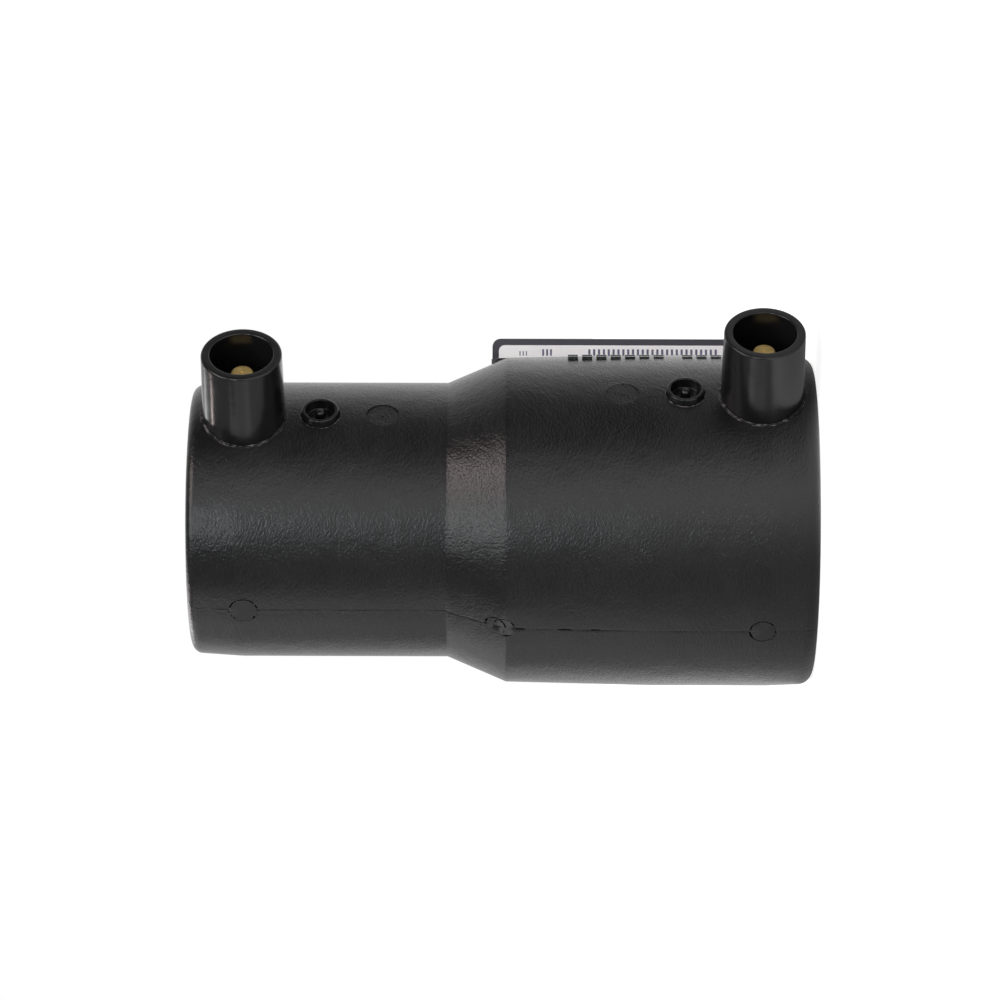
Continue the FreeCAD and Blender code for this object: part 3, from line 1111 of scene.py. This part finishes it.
@dataclass
class Indicator(Insert):
    """Collar with a well, in which a small pin rises when the joint has melted."""

    kind: str = "collar"
    from_end: float = 27.6 * MM
    seat: float = 2.0 * MM
    height: float = 1.25 * MM
    base_radius: float = 4.08 * MM
    rim_radius: float = 3.80 * MM
    well_radius: float = 3.15 * MM
    well_depth: float = 2.2 * MM
    hole_radius: float = 1.15 * MM
    hole_depth: float = 1.83 * MM
    cut: float = 3.75 * MM
    bead: float = 0.5
    steps: int = 64
    well_taper: float = 0.12 * MM
    pin_radius: float = 1.0 * MM
    pin_drop: float = 0.15 * MM
    pin_dome: float = 0.86
    stem_radius: float = 1.0 * MM
    ring_step: float = 0.6 * MM

    def build(self) -> None:
        """The collar, its pin and its stem, which are one moulding."""
        self.add("indicator", "fusion_indicator", self.collar(), Slot.SMOOTH)

    def collar(self) -> BMesh:
        """Tapered collar with a rounded rim, and a domed pin."""
        foot, tip = self.foot + self.play, self.rim - self.pin_drop
        corners = [
            (0.0, foot, 0.0),
            (self.stem_radius, foot, 0.2 * MM),
            (self.stem_radius, self.low, 0.0),
            (self.base_radius, self.low, 0.0),
            (self.rim_radius, self.rim, 0.28 * MM),
            (self.well_radius, self.rim, 0.14 * MM),
            (self.well_radius - self.well_taper, self.floor, 0.2 * MM),
            (self.pin_radius, self.floor, 0.15 * MM),
            (self.pin_radius, tip, self.pin_dome * self.pin_radius),
            (0.0, tip, 0.0),
        ]
        outline = divided(rounded(corners, closed=False), self.ring_step)
        return Lathe(outline, even_angles(self.steps)).mesh()


@dataclass
class Beads(SubAssembly):
    """Uneven beads of flash where the inserts come out of the barrels.

    A strand has a name, its gap to the largest insert and its radius there. The swell is how
    much the thickness changes, its middle and its least.
    """

    inserts: Sequence[Insert]
    strands: Sequence[tuple[str, float, float]] = (
        ("bead", 0.06 * MM, 0.13 * MM),
        ("flash", 0.42 * MM, 0.08 * MM),
    )
    sunk: float = 0.02 * MM
    unevenness: float = 0.42 * MM
    seed: float = 3.7
    strand_seed: float = 5.0
    steps: int = 160
    section: int = 8
    swell: Corner = (4.0, 0.9, 0.08)

    def build(self) -> None:
        """A bead and a thinner strand of flash round each insert."""
        tree = None
        for index, insert in enumerate(self.inserts):
            for order, (strand, apart, radius) in enumerate(self.strands):
                values = {
                    "Ring radius": insert.base_radius + insert.bead * apart,
                    "Barrel radius": insert.barrel.radius - self.sunk,
                    "Height on axis": insert.barrel.height(insert.from_end),
                    "Bead radius": insert.bead * radius,
                    "Unevenness": insert.bead * self.unevenness,
                    "Seed": self.seed + index + self.strand_seed * order,
                    "Material": self.finishes.flash,
                }
                tree = tree or self.bead_tree(values)
                name = insert.barrel.node(f"{insert.kind}_{strand}")
                present(tree.run(name, values), Slot.SMOOTH)

    def bead_tree(self, values: Mapping[str, Any]) -> GeometryTree:
        """Tree that lays a thin bead along the curve where a round piece meets the barrel."""
        tree = GeometryTree("bead_on_barrel", values)
        graph = tree.graph
        here = graph.value("GeometryNodeInputPosition")

        def waver(seed: float, scale: float) -> Value:
            """Noise about zero along the bead."""
            inputs = {"Vector": here, "W": tree["Seed"] + seed, "Scale": scale, "Detail": 2.0}
            return graph.value("ShaderNodeTexNoise", inputs, noise_dimensions="4D") - 0.5

        across, along, _ = graph.separate(here)
        out_x, out_z, _ = graph.separate(graph.vector("NORMALIZE", here))
        aside = waver(0.0, 700.0) * tree["Unevenness"]
        lift = waver(9.0, 900.0) * tree["Unevenness"] * 0.5
        changes, middle, least = self.swell
        swell = (waver(17.0, 500.0) * changes + middle).at_least(least)
        x = across + out_x * aside
        z = along + out_z * aside + tree["Height on axis"]
        radius = tree["Barrel radius"]
        drop = graph.math("SQRT", radius * radius - x * x)
        ring = tree.circle(self.steps, tree["Ring radius"])
        inputs = {"Geometry": ring, "Position": graph.combine(x, -(drop + lift), z)}
        path = graph.value("GeometryNodeSetPosition", inputs)
        section = tree.circle(self.section, 1.0)
        scale = tree["Bead radius"] * swell
        inputs = {"Curve": path, "Profile Curve": section, "Scale": scale}
        tree.end(graph.value("GeometryNodeCurveToMesh", inputs))
        return tree


@dataclass(frozen=True)
class Flat:
    """Flat that an ejector left on the parting line, with a torn groove along its outer edge.

    Attributes:
        height: its middle's height over the origin.
        floor: its middle's distance from the pipe axis.
        radius: its own radius.
        lean: how far it leans towards the small end.
        groove: width of the groove.
        depth: depth of the groove.
        top: how high the shell goes that cuts it.
        torn: share of the groove's depth across the flat's middle, and how uneven it is.
        tear_size: size of the tears.
        waver: how far the flat's edge strays, as a share of its radius.
        waver_size: size of those bends.
        steps: stations of its turn.
    """

    height: float
    floor: float
    radius: float
    lean: float = 0.0
    groove: float = 0.42 * MM
    depth: float = 0.65 * MM
    top: float = 3.5 * MM
    torn: Point = (0.25, 2.0)
    tear_size: float = 0.6 * MM
    waver: float = 0.05
    waver_size: float = 1.3 * MM
    steps: int = 96

    def cutter(self, side: float) -> BMesh:
        """Shell that cuts the flat.

        Args:
            side: 1 for the +X side and -1 for the other.

        Returns:
            The shell, whose groove's deeper faces take the near-black seam material: painted shade.
        """
        inner = self.radius - self.groove
        rim = [(self.radius, 0.0), (self.radius, self.top), (0.0, self.top)]
        mesh = Lathe([(0.0, 0.0), (inner, 0.0), *rim], even_angles(self.steps)).mesh()
        for vertex in mesh.verts:
            spot = Vector((vertex.co.x, vertex.co.y, self.height))
            if vertex.co.z < 0.5 * self.top and spot.xy.length > inner + 0.1 * MM:
                torn = self.torn[0] - vertex.co.y / self.radius
                torn += self.torn[1] * noise.noise(spot / self.tear_size)
                vertex.co.z -= self.depth * clamped(torn)
            if spot.xy.length > 0.5 * self.radius:
                vertex.co.xy *= 1.0 + self.waver * noise.noise(spot / self.waver_size)
        # The groove's deeper faces take the third material, which paints shade into them
        for face in mesh.faces:
            deep = face.calc_center_median().z < -0.3 * self.depth
            face.material_index = 2 if deep else 1
        tip = Matrix.Rotation(side * (math.pi / 2.0 - self.lean), 4, "Y")
        mesh.transform(Matrix.Translation((side * self.floor, 0.0, self.height)) @ tip)
        return mesh


@dataclass
class Moulding(SubAssembly):
    """The body: two barrels and the cone between them, with their bores and shallow recesses.

    Drafts are a drop in radius and where it starts. Bends round a corner of the outline.
    """

    inserts: Sequence[Insert]
    large: Barrel = LARGE
    small: Barrel = SMALL
    neck_radius: float = 34.4 * MM
    neck_start: float = 33.8 * MM
    neck_bend: float = 60.0 * MM
    cone_start: float = 64.8 * MM
    cone_end: float = 77.2 * MM
    cone_bends: Point = (0.7 * MM, 0.9 * MM)
    large_draft: Point = (0.45 * MM, 9.9 * MM)
    small_draft: Point = (0.7 * MM, 10.6 * MM)
    draft_bend: float = 20.0 * MM
    large_corner: float = 2.9 * MM
    small_corner: float = 2.05 * MM
    chamfer: float = 1.2 * MM
    passage_cone: float = 5.0 * MM
    passage_bend: float = 1.0 * MM
    stop_bend: float = 0.3 * MM
    coil_seat: float = 0.55 * MM
    coil_margin: float = 1.0 * MM
    mark_from_end: float = 40.6 * MM
    mark_radius: float = 3.4 * MM
    mark_depth: float = 0.35 * MM
    mark_cut: float = 2.0 * MM
    mark_steps: int = 48
    pip_radius: float = 0.35 * MM
    pip_heights: Point = (0.14 * MM, 0.10 * MM)
    flats: Sequence[Flat] = (
        Flat(11.6 * MM, 34.69 * MM, 2.85 * MM),
        Flat(65.1 * MM, 33.76 * MM, 2.4 * MM, math.radians(12.0)),
        Flat(67.0 * MM, 33.12 * MM, 2.3 * MM, math.radians(23.0)),
        Flat(119.4 * MM, 28.74 * MM, 3.1 * MM),
    )
    splits: Sequence[Point] = (
        (45.2 * MM, 47.4 * MM),
        (51.4 * MM, 53.7 * MM),
        (61.2 * MM, 62.9 * MM),
    )
    split_edge: float = 0.4 * MM
    split_depth: float = 0.42 * MM
    # Width of the painted shade in the splits
    split_shade_width: float = 0.2 * MM
    crack_depth: float = 0.14 * MM
    # Depth past which the crack's faces are painted in shade, and the width of that painted strip
    painted_shade_depth: float = 0.045 * MM
    crack_shade_width: float = 0.08 * MM
    ragged: Sequence[Corner] = ((0.9, 1.6 * MM, 0.3), (0.5, 6.0 * MM, 7.7))
    step: float = 0.16 * MM
    step_fade: float = 12.0 * MM
    flash: float = 0.13 * MM
    flash_width: float = 0.16 * MM
    crown_width: float = 3.5 * MM
    seam_fade: Point = (0.5 * MM, 2.5 * MM)
    seam_spread: Sequence[float] = (0.08 * MM, 0.2 * MM, 0.4 * MM, 0.7 * MM)
    stations: int = 168
    ring_step: float = 1.0 * MM

    def build(self) -> None:
        """Turn the body and cut the seats and recesses into it."""
        outer = divided(rounded(self.outer_corners(), closed=False), self.ring_step)
        outline = outer + rounded(self.inner_corners(), closed=False)
        turned = Lathe(outline, self.angles(), True, self.relief, len(outer)).mesh()
        self.paint_crack_shade(turned)
        # The third material paints shade into the crack and the flats' grooves
        materials = [self.finishes.moulded, self.finishes.smooth, self.finishes.seam]
        body = add_mesh("moulding", turned, materials)
        cutter = add_mesh("recesses", self.cutters(), materials)
        cut = body.modifiers.new("recesses", "BOOLEAN")
        cut.operation, cut.solver = "DIFFERENCE", "EXACT"
        cut.use_self = True
        cut.object = cutter
        body = plain_mesh(body)
        bpy.data.objects.remove(cutter)
        present(body, Slot.MOULDED, "reducer_body")

    def outer_corners(self) -> list[Corner]:
        """Outside, from the large end face up to the small one."""
        large, small = self.large, self.small
        return [
            (large.bore + self.chamfer, 0.0, 0.0),
            (large.radius - self.large_draft[0], 0.0, self.large_corner),
            (large.radius, self.large_draft[1], self.draft_bend),
            (large.radius, self.neck_start, self.neck_bend),
            (self.neck_radius, self.cone_start, self.cone_bends[0]),
            (small.radius, self.cone_end, self.cone_bends[1]),
            (small.radius, OVERALL - self.small_draft[1], self.draft_bend),
            (small.radius - self.small_draft[0], OVERALL, self.small_corner),
            (small.bore + self.chamfer, OVERALL, 0.0),
        ]

    def inner_corners(self) -> list[Corner]:
        """Inside, from the small mouth down to the large one."""
        ramp = [
            (self.small.passage, self.cone_start + self.passage_cone, self.passage_bend),
            (self.large.passage, self.cone_start, self.passage_bend),
        ]
        large = self.socket_corners(self.large)
        return self.socket_corners(self.small) + ramp + large[::-1]

    def socket_corners(self, barrel: Barrel) -> list[Corner]:
        """One socket: its bore, the seat of its coil and its stop."""
        bore, seat = barrel.bore, barrel.bore + self.coil_seat
        first = barrel.start - self.coil_margin
        last = barrel.start + barrel.reach + self.coil_margin
        stations = [
            (bore, self.chamfer, 0.0),
            (bore, first, 0.0),
            (seat, first + self.coil_seat, 0.0),
            (seat, last - self.coil_seat, 0.0),
            (bore, last, 0.0),
            (bore, barrel.depth, 0.0),
            (barrel.passage, barrel.depth, self.stop_bend),
        ]
        return [(radius, barrel.height(distance), bend) for radius, distance, bend in stations]

    def angles(self) -> list[float]:
        """Stations of the turn, closer together at the two parting lines."""
        half = self.stations // 2
        steps = [math.pi * step / half for step in range(half)]
        spread = [offset / self.small.radius for offset in self.seam_spread]
        steps += spread + [math.pi - angle for angle in spread]
        return sorted({seam + angle for seam in (0.0, math.pi) for angle in steps})

    def relief(self, angle: float, height: float) -> float:
        """Flash on the parting line and the step between the mould's halves.

        Args:
            angle: angle about the pipe axis, from +X towards +Y.
            height: height over the origin.

        Returns:
            What is added to the radius.
        """
        start, length = self.seam_fade
        fade_in = clamped((min(height, OVERALL - height) - start) / length)
        beside = self.small.radius * math.sin(angle)
        crest = self.seam_height(math.cos(angle), height) * bell(beside / self.flash_width)
        crown = self.flash * bell(beside / self.crown_width)
        lowered = 0.0
        if beside > 0.0:
            lowered = self.step * max(0.0, 1.0 - beside / self.step_fade) ** 2
        return fade_in * (crest - lowered - crown)

    def seam_height(self, side: float, height: float) -> float:
        """Flash on the small barrel's seam, and a crack with a few splits on the large one's.

        Args:
            side: positive on the +X side and negative on the other.
            height: height over the origin.

        Returns:
            Height of the seam's middle over the barrel.
        """
        which = math.copysign(5.0, side)
        uneven = (
            share * noise.noise(Vector((height / size, which, seed)))
            for share, size, seed in self.ragged
        )
        ragged = clamped(sum(uneven, 0.5))
        if height > self.cone_end:
            return self.flash * ragged
        return -self.crack_depth * ragged - self.split_depth * self.split_share(height)

    def split_share(self, height: float) -> float:
        """1 where the seam is split open, and 0 elsewhere."""
        inside = max(min(height - low, high - height) for low, high in self.splits)
        return clamped(inside / self.split_edge + 0.6)

    def paint_crack_shade(self, mesh: BMesh) -> None:
        """Give the crack's deeper faces the near-black, barely reflecting seam material: painted
        shade.
        """
        for face in mesh.faces:
            middle = face.calc_center_median()
            split = self.split_share(middle.z) > 0.5
            width = self.split_shade_width if split else self.crack_shade_width
            if face.material_index == 0 and abs(middle.y) < width:
                if self.seam_height(middle.x, middle.z) < -self.painted_shade_depth:
                    face.material_index = 2

    def cutters(self) -> BMesh:
        """Every seat, recess and flat in one mesh of separate shells."""
        shells = [insert.cutter() for insert in self.inserts]
        for barrel in (self.large, self.small):
            shells.append(self.mark(barrel))
            for face in shells[-1].faces:
                face.material_index = 0
        shells += [flat.cutter(side) for side in (1.0, -1.0) for flat in self.flats]
        whole = bmesh.new()
        for shell in shells:
            data = bpy.data.meshes.new("shell")
            shell.to_mesh(data)
            shell.free()
            whole.from_mesh(data)
            bpy.data.meshes.remove(data)
        return whole

    def mark(self, barrel: Barrel) -> BMesh:
        """Round recess with a pip in its middle."""
        floor, top = barrel.radius - self.mark_depth, barrel.radius + self.mark_cut
        middle, edge = self.pip_heights
        corners = [
            (0.0, floor + middle),
            (self.pip_radius, floor + edge),
            (self.pip_radius, floor),
            (self.mark_radius, floor),
            (self.mark_radius, top),
            (0.0, top),
        ]
        mesh = Lathe(corners, even_angles(self.mark_steps)).mesh()
        mesh.transform(outward(barrel.height(self.mark_from_end)))
        return mesh


@dataclass
class RaisedDashes(SubAssembly):
    """Plain raised dashes on the large barrel, where such fittings carry raised words."""

    radius: float = LARGE.radius
    first: float = 17.6 * MM
    pitch: float = 3.02 * MM
    columns: int = 12
    rows: int = 2
    gap: int = 4
    turn: float = math.radians(-61.0)
    row_turn: float = math.radians(3.4)
    dash: Corner = (0.55 * MM, 0.75 * MM, 2.1 * MM)

    def build(self) -> None:
        """Points in rows round the barrel, with a dash on each."""
        values = {name: value for name, value in vars(self).items() if name != "finishes"}
        values["Material"] = self.finishes.moulded
        tree = GeometryTree("raised_dashes", values)
        graph = tree.graph
        index = graph.value("GeometryNodeInputIndex")
        column = graph.math("FLOOR", (index + 0.5) / tree["rows"])
        angle = tree["turn"] + (index - column * tree["rows"]) * tree["row_turn"]
        cosine, sine = graph.math("COSINE", angle), graph.math("SINE", angle)
        height = tree["first"] + column * tree["pitch"]
        place = graph.combine(cosine * tree["radius"], sine * tree["radius"], height)
        spots = {"Count": tree["columns"] * tree["rows"], "Position": place}
        apart = graph.math("ABSOLUTE", column - tree["gap"])
        inputs = {
            "Points": graph.value("GeometryNodePoints", spots),
            "Selection": graph.math("GREATER_THAN", apart, 0.5),
            "Instance": graph.value("GeometryNodeMeshCube", {"Size": tree["dash"]}),
            "Rotation": graph.combine(0.0, 0.0, angle),
        }
        tree.end(graph.value("GeometryNodeInstanceOnPoints", inputs))
        present(tree.run("raised_dashes", values), Slot.MOULDED)


@dataclass
class HeatingWire(SubAssembly):
    """One wire from pin to pin: a coil in each socket, and a run between them in the wall."""

    terminals: Sequence[Terminal]
    radius: float = 0.47 * MM
    section: int = 10
    cover: float = 0.10 * MM
    bend: float = 1.5 * MM
    reach: float = 1.7 * MM
    turn_steps: int = 56

    def build(self) -> None:
        """Sweep the wire along its path."""
        values = {"Wire radius": self.radius, "Material": self.finishes.wire}
        tree = GeometryTree("round_wire", values)
        section = tree.circle(self.section, tree["Wire radius"])
        inputs = {"Curve": tree["Geometry"], "Profile Curve": section, "Fill Caps": True}
        tree.end(tree.graph.value("GeometryNodeCurveToMesh", inputs))
        wire = tree.run("heating_coils", values, self.path())
        present(wire, Slot.WIRE, "heating_wire")

    def path(self) -> bpy.types.Curve:
        """Route of the wire from the large end's pin to the small end's."""
        large, small = (self.half(terminal) for terminal in self.terminals)
        route = large + small[::-1]
        curve = bpy.data.curves.new("wire_route", "CURVE")
        curve.dimensions = "3D"
        spline = curve.splines.new("POLY")
        spline.points.add(len(route) - 1)
        for point, place in zip(spline.points, route):
            point.co = (*place, 1.0)
        return curve

    def half(self, terminal: Terminal) -> list[Vector]:
        """Route from a pin's foot to the bend behind its pipe stop, with the coil between."""
        barrel = terminal.barrel
        arm = barrel.bore + self.cover + self.radius
        start = barrel.height(terminal.from_end)
        points = [Vector((0.0, -terminal.foot - self.reach, start)), Vector((0.0, -arm, start))]
        count = barrel.turns * self.turn_steps
        for step in range(count + 1):
            angle = math.tau * step / self.turn_steps
            height = barrel.height(barrel.start + barrel.reach * step / count)
            points.append(Vector((arm * math.sin(angle), -arm * math.cos(angle), height)))
        points.append(Vector((0.0, -arm, barrel.height(barrel.depth + self.bend))))
        return points


@dataclass(frozen=True)
class Sheet:
    """Shape of the label: glued to the large barrel along one edge, and bent back off it."""

    radius: float = LARGE.radius
    turn: float = math.radians(-49.0)
    first: float = math.radians(5.0)
    glued: float = math.radians(25.0)
    curl: float = math.radians(120.0)
    curl_radius: float = 10.5 * MM
    thickness: float = 0.22 * MM
    glue: float = 0.06 * MM
    base: float = 8.0 * MM
    taper_start: float = 33.8 * MM
    taper: float = 0.0226
    length: float = 60.1 * MM
    corner: float = 1.8 * MM
    corner_steps: int = 8
    steps: int = 72
    columns: int = 48

    UV = "print"

    @property
    def print_radius(self) -> float:
        """Radius of the print face where it is glued."""
        return self.radius + self.glue + self.thickness

    @property
    def loose(self) -> float:
        """Length of the loose stretch."""
        return self.curl_radius * self.curl

    @property
    def height(self) -> float:
        """Length of the print face round the bend."""
        return self.print_radius * self.glued + self.loose

    def section(self, distance: float) -> tuple[Vector, Vector]:
        """Place on the print face and the way it looks.

        Args:
            distance: distance along the film from its free edge.

        Returns:
            The point and the print face's normal, in the section's plane.
        """
        bend = self.first + self.glued
        if distance >= self.loose:
            way = direction(bend - (distance - self.loose) / self.print_radius)
            return way * self.print_radius, way
        reach = self.print_radius + self.curl_radius
        way = direction(bend + math.pi - self.curl + distance / self.curl_radius)
        return direction(bend) * reach + way * self.curl_radius, -way

    def held(self, distance: float) -> float:
        """How closely the film follows the barrel: 1 where it is glued, down to 0 at its edge."""
        share = min(1.0, distance / self.loose)
        return share * share * (3.0 - 2.0 * share)

    def stations(self) -> list[float]:
        """Distances of the film's rows from its free edge, closer together at its corners."""
        quarter = math.pi / 2.0 / self.corner_steps
        near = [self.corner * (1.0 - math.cos(quarter * step)) for step in range(self.corner_steps)]
        inner = self.height - 2.0 * self.corner
        middle = [self.corner + inner * step / self.steps for step in range(self.steps + 1)]
        return near + middle + [self.height - distance for distance in near[::-1]]

    def inset(self, distance: float) -> float:
        """How far the rounded corner takes the film's edge in."""
        edge = min(distance, self.height - distance)
        if edge >= self.corner:
            return 0.0
        return self.corner - math.sqrt(max(0.0, self.corner**2 - (self.corner - edge) ** 2))


@dataclass
class Label(SubAssembly):
    """Printed film on the large barrel."""

    sheet: Sheet

    def build(self) -> None:
        """Lay out the film and give it its print."""
        turn = Matrix.Rotation(self.sheet.turn, 4, "Z")
        film = add_mesh("label", self.film(), [self.finishes.label], turn)
        present(film, Slot.LABEL, "data_label")

    def film(self) -> BMesh:
        """Closed thin sheet with rounded corners, and the print's UV map on it."""
        sheet, columns = self.sheet, self.sheet.columns
        mesh = bmesh.new()
        print_map = mesh.loops.layers.uv.new(sheet.UV)
        around = [(column, 0.0) for column in range(columns + 1)]
        around += [(column, sheet.thickness) for column in range(columns, -1, -1)]
        rings, places = [], {}
        for distance in sheet.stations():
            point, way = sheet.section(distance)
            inset, held = sheet.inset(distance), sheet.held(distance)
            rings.append([])
            for column, sink in around:
                along = inset + (sheet.length - 2.0 * inset) * column / columns
                height = sheet.base + along
                drop = held * sheet.taper * max(0.0, height - sheet.taper_start)
                flat = point - way * sink - point.normalized() * drop
                vertex = mesh.verts.new(flat + Vector((0.0, 0.0, height)))
                places[vertex] = (along / sheet.length, distance / sheet.height)
                rings[-1].append(vertex)
        for low, high in zip(rings, rings[1:]):
            bridge(mesh, low, high)
        for ring in (rings[0], rings[-1]):
            for front in range(columns):
                back = -1 - front
                mesh.faces.new([ring[front], ring[front + 1], ring[back - 1], ring[back]])
        for face in mesh.faces:
            for loop in face.loops:
                loop[print_map].uv = places[loop.vert]
        bmesh.ops.recalc_face_normals(mesh, faces=mesh.faces)
        return mesh


@dataclass(frozen=True)
class Lamp:
    """Soft lamp that shines on the fitting's middle.

    Attributes:
        name: its name.
        way: where it stands, to the picture's right, its top and its front.
        distance: from the middle.
        size: its size round the pipe axis and along it.
        power: in watts.
        colour: its colour.
    """

    name: str
    way: Corner
    distance: float
    size: Point
    power: float
    colour: Colour = (0.98, 0.99, 1.0)


@dataclass(frozen=True)
class Studio:
    """Camera, lamps, world and floor.

    The picture's right is -Z, and its top is the level direction `up`. The lens is in
    millimetres. The first three lamps stand in front, and the others below or low behind.
    """

    towards: Corner = (-0.7547, -0.6561, 0.0)
    up: Corner = (0.6561, -0.7547, 0.0)
    aim: Corner = (0.0, 0.0, 61.94 * MM)
    offset: Corner = (-4.225 * MM, 4.211 * MM, 951.8 * MM)
    yaw: float = 0.005
    roll: float = -0.0029
    lens: float = 161.0
    clip: float = 0.05
    floor_radius: float = 3.0
    floor_table: float = 0.24
    lamps: Sequence[Lamp] = (
        Lamp("window", (-0.32, -0.10, 0.94), 1.30, (0.34, 0.22), 2.2, (0.88, 0.96, 1.0)),
        Lamp("side", (-0.78, -0.05, 0.62), 1.20, (0.50, 0.50), 3.2, (0.96, 0.99, 1.0)),
        Lamp("warm", (-0.75, 0.46, 0.48), 1.20, (0.50, 0.50), 3.8, (1.0, 0.86, 0.82)),
        Lamp("table", (-0.12, -0.98, 0.10), 0.36, (0.26, 0.24), 0.10),
        Lamp("under", (-0.42, -0.88, -0.20), 0.90, (0.78, 0.26), 0.55),
        Lamp("left", (-0.63, -0.39, -0.67), 1.00, (0.60, 0.35), 1.60),
        Lamp("strip", (-0.755, -0.46, -0.47), 1.00, (0.05, 0.36), 0.75, (1.0, 0.84, 0.80)),
    )

    def build(self) -> None:
        """Set up everything round the object."""
        surroundings = Surroundings(self.towards, self.up)
        self.add_camera()
        self.add_floor(replace(surroundings, table=self.floor_table))
        self.light_world(surroundings)
        for lamp in self.lamps:
            self.add_lamp(lamp)
        bpy.context.scene.view_settings.view_transform = "Standard"

    def in_picture(self, x: float, y: float, z: float) -> Vector:
        """Vector from its parts to the picture's right, its top and its front."""
        return Vector((0.0, 0.0, -x)) + Vector(self.up) * y + Vector(self.towards) * z

    def add_camera(self) -> None:
        """Camera level with the fitting's middle, turned on its side."""
        cy, sy = math.cos(self.yaw), math.sin(self.yaw)
        cr, sr = math.cos(self.roll), math.sin(self.roll)
        axes = (
            self.in_picture(cy * cr, -sr, -sy * cr),
            self.in_picture(cy * sr, cr, -sy * sr),
            self.in_picture(sy, 0.0, cy),
        )
        turn = Matrix(axes).transposed()
        camera = add_object("camera", bpy.data.cameras.new("camera"))
        camera.data.lens = self.lens
        camera.data.clip_start = self.clip
        place = Vector(self.aim) + turn @ Vector(self.offset)
        camera.matrix_world = Matrix.Translation(place) @ turn.to_4x4()
        bpy.context.scene.camera = camera

    def add_floor(self, surroundings: Surroundings) -> None:
        """Round floor under the large end, which mirrors the surroundings."""
        mesh = bmesh.new()
        bmesh.ops.create_circle(mesh, cap_ends=True, segments=96, radius=self.floor_radius)
        floor = add_mesh("floor", mesh, [StudioFloor("pale_floor", surroundings).make()])

    @staticmethod
    def light_world(surroundings: Surroundings) -> None:
        """World: white to the camera, and the studio to reflections and light."""
        world = bpy.data.worlds.new("studio")
        world.use_nodes = True
        graph = Graph(world.node_tree)
        graph.tree.nodes.clear()
        seen, _ = graph.seen_and_mirrored()
        level = surroundings.level(graph, graph.value("ShaderNodeTexCoord"))
        inputs = {"Color": WHITE, "Strength": seen + (1.0 - seen) * level}
        light = graph.value("ShaderNodeBackground", inputs)
        graph.node("ShaderNodeOutputWorld", {"Surface": light})
        bpy.context.scene.world = world

    def add_lamp(self, lamp: Lamp) -> None:
        """Rectangular lamp, out of the camera's sight."""
        data = bpy.data.lights.new(lamp.name, "AREA")
        data.shape = "RECTANGLE"
        data.size, data.size_y = lamp.size
        data.energy = lamp.power
        data.color = lamp.colour
        way = self.in_picture(*lamp.way).normalized()
        turn = (-way).to_track_quat("-Z", "Y").to_matrix().to_4x4()
        holder = add_object(lamp.name, data)
        place = Vector(self.aim) + way * lamp.distance
        holder.matrix_world = Matrix.Translation(place) @ turn
        holder.visible_camera = False


def main() -> None:
    """Build every sub-assembly around the frame, in order."""
    logging.basicConfig(level=logging.INFO, format="%(name)s: %(message)s")
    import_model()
    sheet = Sheet()
    finishes = Finishes(
        moulded=GrainedPolyethylene("grained_polyethylene").make(),
        smooth=SmoothPolyethylene("polished_polyethylene").make(),
        flash=TornFlash("torn_flash").make(),
        # Painted shade: near-black, barely reflecting material for the seam's crack and the flats'
        # grooves
        seam=TornFlash("seam_painted_shade", (0.003,) * 3, (0.008,) * 3, specular=0.08).make(),
        brass=TurnedBrass("turned_brass").make(),
        wire=DrawnWire("drawn_wire").make(),
        label=PrintedFilm("printed_film", sheet).make(),
    )
    terminals = [Terminal(finishes, barrel) for barrel in (LARGE, SMALL)]
    indicators = [Indicator(finishes, barrel) for barrel in (LARGE, SMALL)]
    inserts = [*terminals, *indicators]
    assemblies = [
        Moulding(finishes, inserts),
        *inserts,
        Beads(finishes, inserts),
        RaisedDashes(finishes),
        HeatingWire(finishes, terminals),
        Label(finishes, sheet),
    ]
    for assembly in assemblies:
        assembly.build()
    Studio().build()


if __name__ == "__main__":
    main()
